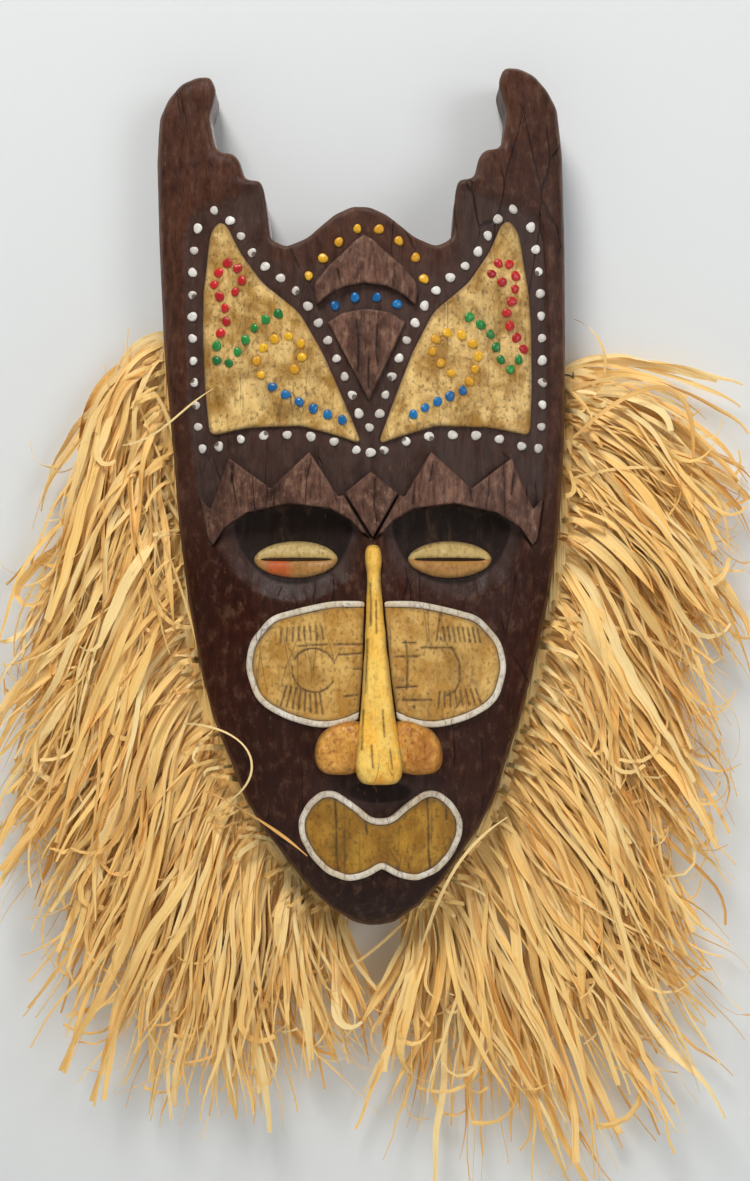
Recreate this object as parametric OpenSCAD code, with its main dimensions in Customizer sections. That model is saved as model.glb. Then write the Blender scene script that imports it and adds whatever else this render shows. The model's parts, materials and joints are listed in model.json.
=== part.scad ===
// Carved, painted and dotted wall mask with two horns and a raffia mane.
// +Z is up, the face looks towards -Y and the back rim lies in the plane y = 0.
// The origin is the point on the wall where a nail carries the hanging ring.
// Outlines are written as [distance from the centre line, height above the chin].

/* [Board] */
// Height of the carved board, chin to horn tips
board_h = 500; // [460:10:540]
// Thickness of the board on its centre line
board_d = 56; // [54:1:62]
// Radius of the crowned front
crown_r = 327; // [310:1:350]
// Sideways drift of the centre line for each unit of height
lean = 0.028; // [0:0.002:0.04]
// Wood left between the front and the hollow back
wall_t = 18; // [17:1:20]
// Depth of the blackened field inside the side bands
field_d = 2.5; // [2:0.5:3]
// Radius that rolls the front back at the chin
chin_roll_r = 40; // [36:1:60]

/* [Relief] */
// Thickness of the cream panels
panel_t = 2.2; // [1.5:0.1:3]
// Height of the pale rims around the cheek and mouth panels
edge_t = 3; // [2.6:0.1:4]
// Width of the pale rims
edge_w = 3.6; // [3:0.1:5]
// Height of the flame brow above the field
brow_t = 5.5; // [4:0.5:7]
// Height of the crescent above the field
crest_t = 4.5; // [3:0.5:6]
// Height of the wedge below the crescent
wedge_t = 3; // [2:0.5:4]
// Height of the nose tip above the face
nose_t = 19; // [15:1:22]
// Radius of the nostril wings, front to back
wing_r = 13; // [12:0.5:14]

/* [Eyes] */
// Radius of the bowl that hollows each eye socket
socket_r = 90; // [85:1:100]
// Depth of that bowl
socket_d = 12; // [10:0.5:12.5]
// Radius of the domed eye
eye_r = 75; // [70:1:90]
// Height of the eye above the socket floor
eye_t = 5; // [4:0.5:6]
// Width of the see-through slit
slit_w = 38; // [34:1:40]
// Height of the slit
slit_h = 2.4; // [2:0.2:3]

/* [Paint dots] */
// Radius of a dot
dot_r = 2.9; // [2.4:0.1:3.2]
// Height of a dot
dot_h = 1.6; // [1.2:0.1:2]

/* [Raffia] */
// Diameter of the heading cord that carries the raffia
cord_d = 6; // [5:0.5:7]
// Depth of the mane at its thickest
mane_d = 44; // [36:1:50]
// Depth of the mane where it leaves the cord
root_d = 12; // [10:1:16]
// Tack wire diameter
tack_d = 1.4; // [1.2:0.1:1.8]
// Tacks along each cord
tack_n = 7; // [5:1:9]

/* [Hanger] */
// Wire of the ring
wire_d = 2.4; // [2:0.1:2.6]
// Width of the ring between the centres of its legs
ring_w = 18; // [17:0.5:19]
// Straight part of the ring's legs
ring_leg = 6; // [5:0.5:7]
// Width of the folded strap
strap_w = 11; // [9:0.5:12]
// Thickness of the strap
strap_t = 0.9; // [0.7:0.1:1]
// Length of the strap below the ring's hinge
strap_l = 33; // [32:0.5:34]
// Screw shank diameter
screw_d = 3.8; // [3.5:0.1:4]
// Screw length in the wood
screw_l = 16; // [12:1:20]
// Screw head diameter
head_d = 7.4; // [7:0.1:8]
// Screw head height
head_h = 2.2; // [2:0.1:2.6]

/* [Hidden] */
SIDES = [["left", -1], ["right", 1]];
PAINTS = ["red", "green", "yellow", "blue"];
TUFTS = 9;

unit = board_h / 500;
far = 200;
gap = 0.3;
lean_z = 214;
hang_z = 395;
axle_y = crown_r - board_d;
axle_z = -13;
root_off = cord_d + 1.4;
recess_d = 7;
barrel_r = wire_d / 2 + 0.05 + 1.15;
hinge_y = barrel_r - recess_d;
screw_z = axle_z - strap_l + 7;

// Turns outline points into the part's own frame
function at(x, z) = unit * [x + lean * (lean_z - z), z - hang_z];
function placed(p, side = 1) = [for (q = p) at(side * q[0], q[1])];
function flipped(p) = [for (i = [len(p) - 1:-1:0]) [-p[i][0], p[i][1]]];
function both(p) = concat(p, flipped(p));

// Rounds each corner of a closed outline by a curve that starts r from it
function rounded(p, r, steps = 4) = [
    for (i = [0:len(p) - 1])
        let (a = p[(i + len(p) - 1) % len(p)], b = p[i], c = p[(i + 1) % len(p)],
             from = b + (a - b) * min(r / norm(a - b), 0.45),
             to = b + (c - b) * min(r / norm(c - b), 0.45))
            for (k = [0:steps]) let (t = k / steps) (1 - t) ^ 2 * from + 2 * t * (1 - t) * b + t * t * to];

// Moves an outline that runs anticlockwise inwards by d
function inset(p, d) = [
    for (i = [0:len(p) - 1])
        let (a = p[(i + len(p) - 1) % len(p)], c = p[(i + 1) % len(p)], along = (c - a) / norm(c - a))
            p[i] + d * [-along[1], along[0]]];

// A smooth open curve through the given points
function bend(a, b, c, d, t) =
    0.5 * (2 * b + (c - a) * t + (2 * a - 5 * b + 4 * c - d) * t ^ 2 + (3 * b - a - 3 * c + d) * t ^ 3);
function curve(p, steps = 6) = concat(
    [for (i = [0:len(p) - 2]) for (k = [0:steps - 1])
        bend(p[max(i - 1, 0)], p[i], p[i + 1], p[min(i + 2, len(p) - 1)], k / steps)],
    [p[len(p) - 1]]);

// n points at equal steps along a curve
function length_of(p, i = 0) = i > len(p) - 2 ? 0 : norm(p[i + 1] - p[i]) + length_of(p, i + 1);
function walk(p, d, i = 0) =
    let (step = norm(p[i + 1] - p[i]))
        d <= step || i > len(p) - 3 ? p[i] + (p[i + 1] - p[i]) * d / step : walk(p, d - step, i + 1);
function spaced(p, n) = let (c = curve(p), all = length_of(c)) [for (k = [0:n - 1]) walk(c, all * k / (n - 1))];

// Half width of the board at each height, from the chin to the horn
EDGE = [[0, 4], [2, 12], [12, 26], [26, 39.5], [42, 51.5], [58, 63.5], [75, 73.5], [98, 81.5], [120, 90],
        [144, 96.5], [167, 101.5], [193, 106.8], [214, 109.8], [240, 112.4], [284, 115.5], [343, 118.7],
        [402, 119.7], [450, 119.8], [478, 117.5]];
// How far the board's outline strays from its middle line at each height, as hand carving leaves it
SWAY = [[0, -5.5], [60, -6], [120, -6.5], [144, -6], [167, -4.8], [193, -3.6], [231, -2], [284, -1.2], [343, -1.8]];
function sway(z) = lookup(z, SWAY);
// The right horn stands a little higher than the left one
function horn_lift(x, z) = 0.02 * x * max(0, z - 430) / 70;
HORN = [[112, 488], [104, 496.5], [95, 500], [86, 499.5], [82.5, 491], [84, 484], [87, 475], [84, 457], [81, 453],
        [73.5, 452], [69.5, 447], [67, 437], [64, 435], [57.5, 434.5], [55.5, 428], [54, 416], [52.5, 400],
        [43.5, 395.5], [31, 400.5], [15, 413.5], [5, 418]];
BOARD = [for (q = rounded(both(concat([for (e = EDGE) [e[1], e[0]]], HORN)), 3, 3))
    at(q[0] + sway(q[1]), q[1] + horn_lift(q[0], q[1]))];
HOLLOW = placed(rounded(both([[14, 26], [40, 52], [57, 80], [70, 112], [80, 160], [90, 214], [97, 280], [98, 318],
                              [84, 334], [30, 336]]), 10));
FIELD = placed(both([[6, 221], [22, 226], [66, 226], [92, 221], [96, 225], [101.5, 256], [105.5, 300], [105.5, 400],
                     [100, 424], [83, 431], [62, 413], [50, 425]]));

ARCH = [[93, 222], [86, 232], [72, 241], [48, 246], [24, 243], [12, 236], [6, 229]];
SOCKET = concat(ARCH, [[7, 212], [20, 198], [40, 193], [60, 190], [80, 198], [90, 208]]);
BROW = concat([[1.6, 226], [3.5, 228.5]], [for (i = [len(ARCH) - 1:-1:0]) ARCH[i] + [0, 0.2]],
              [[96, 226], [100, 250], [94, 243.5], [82, 273], [58, 255], [35, 276], [19, 250], [16, 251]]);
DIAMOND = [[0, 226.5], [15.3, 252], [0, 264.5], [-15.3, 252]];
WING_PANEL = rounded([[4.5, 280], [18, 285], [39, 291], [70, 290.5], [93.5, 286], [95.5, 313], [96, 348], [95, 370],
                      [90, 404], [85, 411], [80, 409], [72.5, 392.5], [59.5, 374], [38.5, 356.5], [25.5, 332.5],
                      [11, 297]], 5);
CRESCENT = rounded(both([[-0.01, 373], [-12, 371], [-22, 366], [-28.5, 360], [-30, 368], [-29, 374], [-20.4, 384],
                         [-10.8, 392], [-5, 398], [-0.01, 401]]), 1.5, 3);
WEDGE = both([[0.01, 305], [22.5, 350.5], [14, 356], [0.01, 358.5]]);
CHEEK = rounded([[5.6, 190], [5.8, 187], [7.9, 150], [10.7, 124.5], [11, 121.5], [24, 117.5], [35, 117], [51, 121],
                 [64, 127.5], [71, 134.5], [76, 151], [73, 166.5], [60, 181.5], [39, 187], [24, 190]], 6);
// The part of a cheek inside its rim, which has no rim along the nose
CHEEK_FIELD = concat([[0, 190 - edge_w], [0, 131]], [for (q = inset(CHEEK, edge_w)) if (q[0] > 17) q]);
MOUTH = rounded(both([[0.5, 36], [9, 31], [20, 28.5], [32, 33], [41, 42], [47, 54], [47.5, 64], [42, 74], [34, 80.5],
                      [26, 81], [14, 73], [5, 65]]), 4);
NOSE = rounded(both([[13, 88], [13.4, 96], [7.3, 149], [5.2, 180], [4, 221]]), 3);
NOSE_PROFILE = [[-3, 225], [4, 223], [6, 210], [9, 180], [12, 149], [15.5, 116], [nose_t, 96], [nose_t - 3, 87],
                [-3, 83]];
NOSTRIL = rounded([[10, 97], [20, 91.5], [29, 92], [35, 98], [35, 108], [30, 114.5], [20, 116], [10, 115]], 4);
EYE = [for (k = [0:23]) let (a = 15 * k) [44 + 24 * cos(a), 214 + 10.8 * sin(a) * (1 - 0.25 * abs(cos(a)))]];
SOCKET_AT = [46, 236];

// Rows of paint dots: [points that the row runs through, number of dots]
WHITE_ROWS = [[[[8, 277], [24, 283], [45, 286], [70, 285], [88, 280]], 7],
              [[[98, 279], [101, 300], [102, 340], [101, 385], [97, 408]], 11],
              [[[87, 418], [78, 412], [62, 388], [40, 369], [26, 347], [13, 318], [6, 298]], 14]];
PAINT_ROWS = [
    [[[[75.7, 369.5], [71.5, 378], [78.6, 387], [88, 376], [83, 363], [81.4, 353.5], [85.1, 346]], 10],
     [[[87.4, 338.5], [87.7, 330], [81, 328], [70.3, 341.7], [63, 350], [50.6, 356]], 8],
     [[[61.9, 321], [64, 330], [56, 340], [44.7, 342.5], [36.5, 335], [42.5, 323.5]], 8],
     [[[55.4, 313.8], [38.2, 303.7], [15.7, 294.2]], 6]],
    [[[[79, 374.8], [73, 380], [80.7, 387.5], [87.3, 378.5], [85.2, 366], [81, 355.3], [86, 344], [90.8, 336.5]], 11],
     [[[59.3, 354], [71.4, 344.6], [77, 330], [83, 324.5], [87.7, 330]], 7],
     [[[58.5, 316.6], [64, 331.8], [56, 343], [44, 344], [37, 335], [47.7, 321.3]], 10],
     [[[54.3, 311.4], [38.4, 304.4], [25.2, 297.5]], 5]]];
CREST_YELLOW = [[[-32.5, 378], [-23, 389], [-11, 400], [1, 406], [13, 402], [24, 394], [31, 385], [33.5, 376]], 8];
CREST_BLUE = [[[-18, 360.5], [-6, 365], [6, 365], [18, 361]], 4];

// Raffia: each row is [root height, bend x, bend height, tip x, tip height]
MANE = [
    [[340, -160, 340, -178, 262], [302, -165, 300, -202, 212], [264, -167, 255, -218, 150], [226, -160, 205, -214, 90],
     [188, -150, 150, -207, 35], [152, -135, 100, -202, -25], [118, -115, 60, -168, -90], [86, -95, 30, -110, -98],
     [58, -72, 0, -62, -80], [32, -46, -8, -24, -48]],
    [[332, 172, 336, 205, 268], [298, 180, 290, 218, 205], [264, 176, 246, 218, 152], [228, 160, 205, 216, 100],
     [192, 150, 150, 210, 46], [156, 140, 100, 206, -12], [122, 125, 50, 195, -75], [90, 100, 15, 140, -147],
     [60, 74, -8, 78, -108], [34, 44, -14, 14, -44]]];

function half_width(z) = lookup(z, EDGE);
// Point on the board's side at height z, moved out by d
function off_edge(side, z, d) =
    let (slope = (half_width(z + 4) - half_width(z - 4)) / 8, out = [1, -slope] / norm([1, slope]))
        at(side * (half_width(z) + d * out[0]) + sway(z), z + d * out[1]);
// Point at share t along one edge of a tuft
function strand(side, row, t) =
    let (root = off_edge(side, row[0], root_off), knee = [row[1], row[2] - hang_z] * unit,
         tip = [row[3], row[4] - hang_z] * unit)
        (1 - t) ^ 2 * root + 2 * t * (1 - t) * knee + t * t * tip;

// A closed skin over rings of equal size, one after another
module skin(rings) {
    sides = len(rings[0]);
    points = [for (r = rings) each r];
    last = (len(rings) - 1) * sides;
    polyhedron(points, concat(
        [[for (k = [0:sides - 1]) k]],
        [for (i = [0:len(rings) - 2]) for (k = [0:sides - 1]) let (a = i * sides + k, b = i * sides + (k + 1) % sides)
            each [[a, a + sides, b], [b, a + sides, b + sides]]],
        [[for (k = [sides - 1:-1:0]) last + k]]));
}

// An outline run through the board from front to back
module prism(p, front = -far, back = 0)
    rotate([90, 0, 0]) translate([0, 0, -back]) linear_extrude(back - front) polygon(p);

// All that lies behind the crowned surface raised by level
module drum(level)
    translate([0, axle_y, -2 * board_h]) cylinder(r = crown_r + level, h = 4 * board_h, $fn = 360);

// A plate on the front, from one level to another
module plate(p, low, high)
    intersection() {
        prism(p);
        difference() {
            drum(high);
            drum(low);
        }
    }

// The ball that hollows a socket
module socket_ball(side) {
    c = at(side * SOCKET_AT[0], SOCKET_AT[1]);
    translate([c[0], axle_y - sqrt(crown_r ^ 2 - c[0] ^ 2) + socket_d - socket_r, c[1]]) sphere(socket_r, $fn = 250);
}

module slit(side) {
    c = at(side * 44, 214);
    translate([c[0] - slit_w / 2, -far, c[1] - slit_h / 2]) cube([slit_w, far + 1, slit_h]);
}

// One dome of paint on the front at the given level
module dot(x, z, level) {
    c = at(x, z);
    a = asin(c[0] / (crown_r + level));
    ball = (dot_r ^ 2 + dot_h ^ 2) / (2 * dot_h);
    translate([c[0], axle_y - (crown_r + level) * cos(a), c[1]]) rotate([90, 0, a])
        intersection() {
            translate([0, 0, dot_h - ball]) sphere(ball, $fn = 96);
            translate([-2 * dot_r, -2 * dot_r, 0.02]) cube([4 * dot_r, 4 * dot_r, 2 * dot_h]);
        }
}

module row_of_dots(row, level, side = 1)
    for (q = spaced(row[0], row[1])) dot(side * q[0], q[1], level);

module mask_board() color("saddlebrown") difference() {
    intersection() {
        prism(BOARD);
        drum(0);
        union() {
            translate([-far, -far, 25 - hang_z]) cube([2 * far, 2 * far, board_h]);
            translate([0, chin_roll_r - board_d, 25 - hang_z]) rotate([0, 90, 0])
                cylinder(r = chin_roll_r, h = 2 * far, center = true, $fn = 180);
        }
    }
    difference() {
        prism(FIELD);
        drum(-field_d);
    }
    intersection() {
        prism(HOLLOW, back = 1);
        drum(-wall_t);
    }
    for (s = SIDES) {
        intersection() {
            prism(placed(SOCKET, s[1]));
            socket_ball(s[1]);
        }
        slit(s[1]);
    }
    translate([-13, -recess_d, axle_z - strap_l - 3]) cube([26, recess_d + 1, strap_l + 24]);
    screw_hole() cylinder(d = screw_d, h = screw_l + 0.5, $fn = 48);
}

module screw_hole() translate([0, -recess_d, screw_z]) rotate([90, 0, 0]) children();

module crown_crescent() color("rosybrown") plate(placed(CRESCENT), -field_d, crest_t - field_d);
module crown_wedge() color("rosybrown") plate(placed(WEDGE), -field_d, wedge_t - field_d);
module brow_diamond() color("rosybrown") plate(placed(DIAMOND), -field_d, brow_t - field_d + 0.8);
module brow(side) color("sienna") plate(placed(BROW, side), -field_d, brow_t - field_d);
module wing_panel(side) color("burlywood") plate(placed(WING_PANEL, side), -field_d, panel_t - field_d);

module eye(side) color("palegoldenrod") {
    c = at(side * 44, 214);
    ball = at(side * SOCKET_AT[0], SOCKET_AT[1]);
    ball_y = axle_y - sqrt(crown_r ^ 2 - ball[0] ^ 2) + socket_d - socket_r;
    floor_y = ball_y + sqrt(socket_r ^ 2 - (c[1] - ball[1]) ^ 2 - (c[0] - ball[0]) ^ 2);
    difference() {
        intersection() {
            prism(placed(EYE, side));
            socket_ball(side);
            translate([c[0], floor_y - eye_t + eye_r, c[1]]) sphere(eye_r, $fn = 250);
        }
        slit(side);
    }
}

module nose_ridge() color("khaki") difference() {
    intersection() {
        prism(placed(NOSE));
        rotate([90, 0, 90]) linear_extrude(4 * far, center = true)
            polygon([for (q = NOSE_PROFILE) [-board_d - q[0], unit * (q[1] - hang_z)]]);
    }
    drum(0);
}

module nose_wing(side) color("goldenrod") difference() {
    intersection() {
        prism(placed(NOSTRIL, side));
        translate([0, 3 - board_d, at(0, 103.3)[1]]) rotate([0, 90, 0])
            cylinder(r = wing_r, h = far, center = true, $fn = 180);
    }
    drum(0);
    prism(placed(inset(NOSE, -0.1)));
}

module cheek_panel(side) color("tan") intersection() {
    plate(placed(CHEEK, side), 0, panel_t);
    prism(placed(CHEEK_FIELD, side));
}
module cheek_rim(side) color("wheat") difference() {
    plate(placed(CHEEK, side), 0, edge_t);
    prism(placed(CHEEK_FIELD, side));
}
module mouth_panel() color("tan") plate(placed(inset(MOUTH, edge_w)), 0, panel_t);
module mouth_rim() color("wheat") difference() {
    plate(placed(MOUTH), 0, edge_t);
    prism(placed(inset(MOUTH, edge_w)));
}

module white_dots() color("white") {
    for (s = SIDES) for (row = WHITE_ROWS) row_of_dots(row, -field_d, s[1]);
    for (z = [275.5, 290]) dot(0, z, -field_d);
}
module crest_yellow_dots() color("gold") row_of_dots(CREST_YELLOW, -field_d);
module crest_blue_dots() color("steelblue") row_of_dots(CREST_BLUE, -field_d);
module paint_dots(side, paint)
    color(PAINTS[paint]) row_of_dots(PAINT_ROWS[side < 0 ? 0 : 1][paint], panel_t - field_d, side);

// The cord that gathers the raffia, held along the side of the board
module raffia_cord(side) color("peru") {
    r = cord_d / 2;
    rings = 26;
    skin([for (i = [0:rings])
        let (z = 338 - 304 * i / rings, c = off_edge(side, z, r + gap), ahead = off_edge(side, z - 2, r + gap),
             along = (ahead - c) / norm(ahead - c), out = [along[1], -along[0]])
            [for (k = [0:7]) let (a = 45 * k + 22.5)
                [c[0] + r * cos(a) * out[0], r * sin(a) - 14, c[1] + r * cos(a) * out[1]]]]);
}

module cord_tacks() color("dimgray")
    for (s = SIDES) for (i = [0:tack_n - 1]) {
        z = 325 - 270 * i / (tack_n - 1);
        tail = off_edge(s[1], z, -8);
        head = off_edge(s[1], z, cord_d + gap + 0.6);
        run = head - tail;
        translate([tail[0], -14, tail[1]]) rotate([0, atan2(run[0], run[1]), 0]) {
            cylinder(d = tack_d, h = norm(run), $fn = 24);
            translate([0, 0, norm(run) - 0.8]) cylinder(d = 3 * tack_d, h = 0.8, $fn = 24);
        }
    }

// One hank of raffia between two neighbouring strands
module raffia_tuft(side, i) color("sandybrown") {
    rows = MANE[side < 0 ? 0 : 1];
    steps = 9;
    skin([for (k = [0:steps])
        let (t = k / steps, a = strand(side, rows[i - 1], t), b = strand(side, rows[i], t), c = (a + b) / 2,
             reach = (b - a) / 2 * (1 - gap / norm(b - a)), deep = root_d + (mane_d - root_d) * sin(150 * t) ,
             twist = side < 0 ? 1 : -1)
            [for (m = [0:7]) let (w = 45 * m * twist)
                [c[0] + reach[0] * cos(w), deep / 2 * sin(w) - 16 - 9 * sin(150 * t), c[1] + reach[1] * cos(w)]]]);
}

module hanger_strap() color("silver") difference() {
    union() {
        translate([-strap_w / 2, -recess_d, axle_z - strap_l]) cube([strap_w, strap_t, strap_l]);
        translate([0, hinge_y, axle_z]) rotate([0, 90, 0]) cylinder(r = barrel_r, h = strap_w, center = true, $fn = 64);
    }
    translate([0, hinge_y, axle_z]) rotate([0, 90, 0])
        cylinder(r = wire_d / 2 + 0.05, h = strap_w + 2, center = true, $fn = 64);
    screw_hole() translate([0, 0, -5]) cylinder(d = screw_d + 0.4, h = 10, $fn = 48);
}

module hanger_ring() color("gainsboro") translate([0, hinge_y, axle_z]) {
    rotate([0, 90, 0]) cylinder(d = wire_d, h = ring_w, center = true, $fn = 64);
    for (s = SIDES) translate([s[1] * ring_w / 2, 0, 0]) {
        sphere(d = wire_d, $fn = 64);
        translate([0, 0, -ring_leg]) cylinder(d = wire_d, h = ring_leg, $fn = 64);
    }
    translate([0, 0, -ring_leg]) rotate([90, 0, 0]) rotate([0, 0, 180])
        rotate_extrude(angle = 180, $fn = 96) translate([ring_w / 2, 0]) circle(d = wire_d, $fn = 64);
}

module hanger_screw() color("silver") translate([0, -recess_d, screw_z]) rotate([90, 0, 0]) {
    cylinder(d = screw_d, h = screw_l, $fn = 48);
    translate([0, 0, -strap_t - head_h]) difference() {
        cylinder(d = head_d, h = head_h, $fn = 64);
        for (a = [0, 90]) rotate([0, 0, a]) translate([-0.5, -2.2, -0.1]) cube([1, 4.4, 1.3]);
    }
    translate([0, 0, -strap_t]) cylinder(d = screw_d, h = strap_t, $fn = 48);
}

mask_board();
crown_crescent();
crown_wedge();
brow_diamond();
nose_ridge();
mouth_panel();
mouth_rim();
white_dots();
crest_yellow_dots();
crest_blue_dots();
cord_tacks();
hanger_strap();
hanger_ring();
hanger_screw();
for (s = SIDES) {
    wing_panel(s[1]);
    brow(s[1]);
    eye(s[1]);
    nose_wing(s[1]);
    cheek_panel(s[1]);
    cheek_rim(s[1]);
    raffia_cord(s[1]);
    for (paint = [0:3])
        paint_dots(s[1], paint);
    for (i = [1:TUFTS])
        raffia_tuft(s[1], i);
}
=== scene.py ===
# %% [markdown]
# # A carved wall mask with a raffia mane
# This lesson dresses a finished CAD frame of a horned wall mask. The frame fixes where every piece
# sits and how the hanging ring turns; here each piece gets its carved surface, its paint and its wear.
# Lengths are in millimetres while shapes are worked out, and turn into metres when a mesh is made.

# %% Load the frame
import json
import math
import bpy
import numpy as np
import bmesh
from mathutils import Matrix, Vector
from mathutils.geometry import delaunay_2d_cdt

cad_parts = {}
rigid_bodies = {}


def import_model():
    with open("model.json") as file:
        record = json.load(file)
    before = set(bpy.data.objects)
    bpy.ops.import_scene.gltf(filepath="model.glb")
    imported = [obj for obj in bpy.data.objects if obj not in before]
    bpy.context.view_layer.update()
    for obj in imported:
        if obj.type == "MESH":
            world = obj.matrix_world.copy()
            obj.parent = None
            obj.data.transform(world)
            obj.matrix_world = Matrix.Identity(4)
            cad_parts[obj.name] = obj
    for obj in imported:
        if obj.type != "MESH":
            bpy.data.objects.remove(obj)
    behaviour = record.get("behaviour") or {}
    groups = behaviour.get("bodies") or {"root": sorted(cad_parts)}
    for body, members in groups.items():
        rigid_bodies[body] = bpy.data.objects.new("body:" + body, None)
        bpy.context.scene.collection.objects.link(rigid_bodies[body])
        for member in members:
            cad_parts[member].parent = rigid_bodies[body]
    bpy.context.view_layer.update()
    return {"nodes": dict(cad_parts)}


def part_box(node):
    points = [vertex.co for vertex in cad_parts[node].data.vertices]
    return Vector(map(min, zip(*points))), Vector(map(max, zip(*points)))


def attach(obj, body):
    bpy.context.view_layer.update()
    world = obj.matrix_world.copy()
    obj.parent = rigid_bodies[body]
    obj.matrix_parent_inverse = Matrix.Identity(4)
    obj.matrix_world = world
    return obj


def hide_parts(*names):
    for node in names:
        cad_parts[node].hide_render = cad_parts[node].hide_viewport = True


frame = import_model()
MM = 0.001
SIDES = {"left": -1, "right": 1}

# %% [markdown]
# ## The view
# A wall mask is looked at straight on, from about a metre. A camera at that distance sees a little of
# the horns' inner sides, which a flat drawing would hide. The lens follows from the distance and from
# the height of the picture, so it needs no guessing.

# %% Place the camera
VIEW_DISTANCE = 1.06
VIEW_HEIGHT = 0.686
VIEW_CENTRE = (0.001, -0.199)
FRONT_Y = -0.046
SENSOR = 36.0

camera_data = bpy.data.cameras.new("camera")
camera_data.sensor_width = SENSOR
camera_data.lens = SENSOR * VIEW_DISTANCE / VIEW_HEIGHT
camera = bpy.data.objects.new("camera", camera_data)
camera.location = (VIEW_CENTRE[0], FRONT_Y - VIEW_DISTANCE, VIEW_CENTRE[1])
camera.rotation_euler = (math.radians(90), 0, 0)
bpy.context.scene.collection.objects.link(camera)
bpy.context.scene.camera = camera
print("lens in millimetres:", round(camera_data.lens, 1))

# %% [markdown]
# ## The room
# The mask hangs on a pale wall above a pale floor. The wall lets light and sight through from behind,
# so the hollow back can be looked at too. A large soft lamp stands above and to the left, a weaker one
# fills from the right, and a third lights the back.

# %% Helpers for colours and lamps
def srgb(red, green, blue):
    """A colour given as 0 to 255 in each channel, as the linear values that shaders take."""
    linear = [c / 255 / 12.92 if c <= 10 else ((c / 255 + 0.055) / 1.055) ** 2.4
              for c in (red, green, blue)]
    return (*linear, 1.0)


def soft_lamp(name, place, aim, size, power, tint=(1, 1, 1)):
    """A round lamp at a place, turned to face its aim; sizes in metres and power in watts."""
    data = bpy.data.lights.new(name, "AREA")
    data.shape = "DISK"
    data.size = size
    data.energy = power
    data.color = tint
    lamp = bpy.data.objects.new(name, data)
    lamp.location = place
    lamp.rotation_euler = (Vector(aim) - Vector(place)).to_track_quat("-Z", "Y").to_euler()
    bpy.context.scene.collection.objects.link(lamp)


# %% Helper for the wall and the floor
def stage_plane(name, corners, colour, one_sided):
    """A flat matt sheet. A one-sided sheet is clear from behind and throws no shadow."""
    mesh = bpy.data.meshes.new(name)
    mesh.from_pydata(corners, [], [(0, 1, 2, 3)])
    plane = bpy.data.objects.new(name, mesh)
    bpy.context.scene.collection.objects.link(plane)
    material = bpy.data.materials.new(name)
    material.use_nodes = True
    nodes, links = material.node_tree.nodes, material.node_tree.links
    shader = nodes["Principled BSDF"]
    shader.inputs["Base Color"].default_value = colour
    shader.inputs["Roughness"].default_value = 0.9
    if one_sided:
        behind = nodes.new("ShaderNodeNewGeometry")
        ray = nodes.new("ShaderNodeLightPath")
        either = nodes.new("ShaderNodeMath")
        either.operation = "MAXIMUM"
        clear = nodes.new("ShaderNodeBsdfTransparent")
        mix = nodes.new("ShaderNodeMixShader")
        links.new(behind.outputs["Backfacing"], either.inputs[0])
        links.new(ray.outputs["Is Shadow Ray"], either.inputs[1])
        links.new(either.outputs[0], mix.inputs["Fac"])
        links.new(shader.outputs[0], mix.inputs[1])
        links.new(clear.outputs[0], mix.inputs[2])
        links.new(mix.outputs[0], nodes["Material Output"].inputs["Surface"])
    mesh.materials.append(material)


# %% Build the wall, the floor and the lamps
WALL_Y = 0.003
WALL_TOP = 2.2
FLOOR_Z = -0.62
ROOM = 3

wall_corners = [(x, WALL_Y, z) for x, z in
                ((-ROOM, FLOOR_Z), (ROOM, FLOOR_Z), (ROOM, WALL_TOP), (-ROOM, WALL_TOP))]
floor_corners = [(x, y, FLOOR_Z) for x, y in ((-ROOM, -ROOM), (ROOM, -ROOM), (ROOM, ROOM), (-ROOM, ROOM))]
stage_plane("wall", wall_corners, srgb(225, 227, 227), True)
stage_plane("floor", floor_corners, srgb(214, 215, 214), False)
soft_lamp("key", (-0.5, -1.3, 1.5), (0, 0, -0.15), 0.8, 33, (1.0, 0.985, 0.96))
soft_lamp("fill", (1.3, -1.5, 0.2), (0, 0, -0.2), 1.0, 9, (0.97, 0.985, 1.0))
soft_lamp("back", (0.6, 1.6, 0.7), (0, 0, -0.2), 1.0, 16)
world = bpy.data.worlds.new("studio")
world.use_nodes = True
world.node_tree.nodes["Background"].inputs["Color"].default_value = srgb(236, 240, 244)
world.node_tree.nodes["Background"].inputs["Strength"].default_value = 0.25
bpy.context.scene.world = world
bpy.context.scene.view_settings.view_transform = "Standard"
print("lamps:", [lamp.name for lamp in bpy.data.lights])

# %% [markdown]
# ## Tools for carving
# Wood carving is mostly "how deep is the surface here?", so nearly every piece below is a height map:
# an outline seen from the front, filled with small triangles, and a rule that says how far forward each
# point stands. The outlines come from the CAD pieces, so nothing has to be fitted afterwards.

# %% Smooth steps and wandering noise
LATTICE = np.random.default_rng(7).random((256, 256))


def step_up(low, high, value):
    """0 below low, 1 above high, and a smooth rise between them."""
    t = np.clip((value - low) / (high - low), 0, 1)
    return t * t * (3 - 2 * t)


def noise(a, b):
    """Smooth random hills between -1 and 1, about one unit wide."""
    i, j = np.floor(a).astype(int), np.floor(b).astype(int)
    s, t = step_up(0, 1, a - i), step_up(0, 1, b - j)
    corner = [[LATTICE[(i + m) % 256, (j + n) % 256] for n in (0, 1)] for m in (0, 1)]
    near = corner[0][0] * (1 - t) + corner[0][1] * t
    far = corner[1][0] * (1 - t) + corner[1][1] * t
    return 2 * (near * (1 - s) + far * s) - 1


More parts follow.
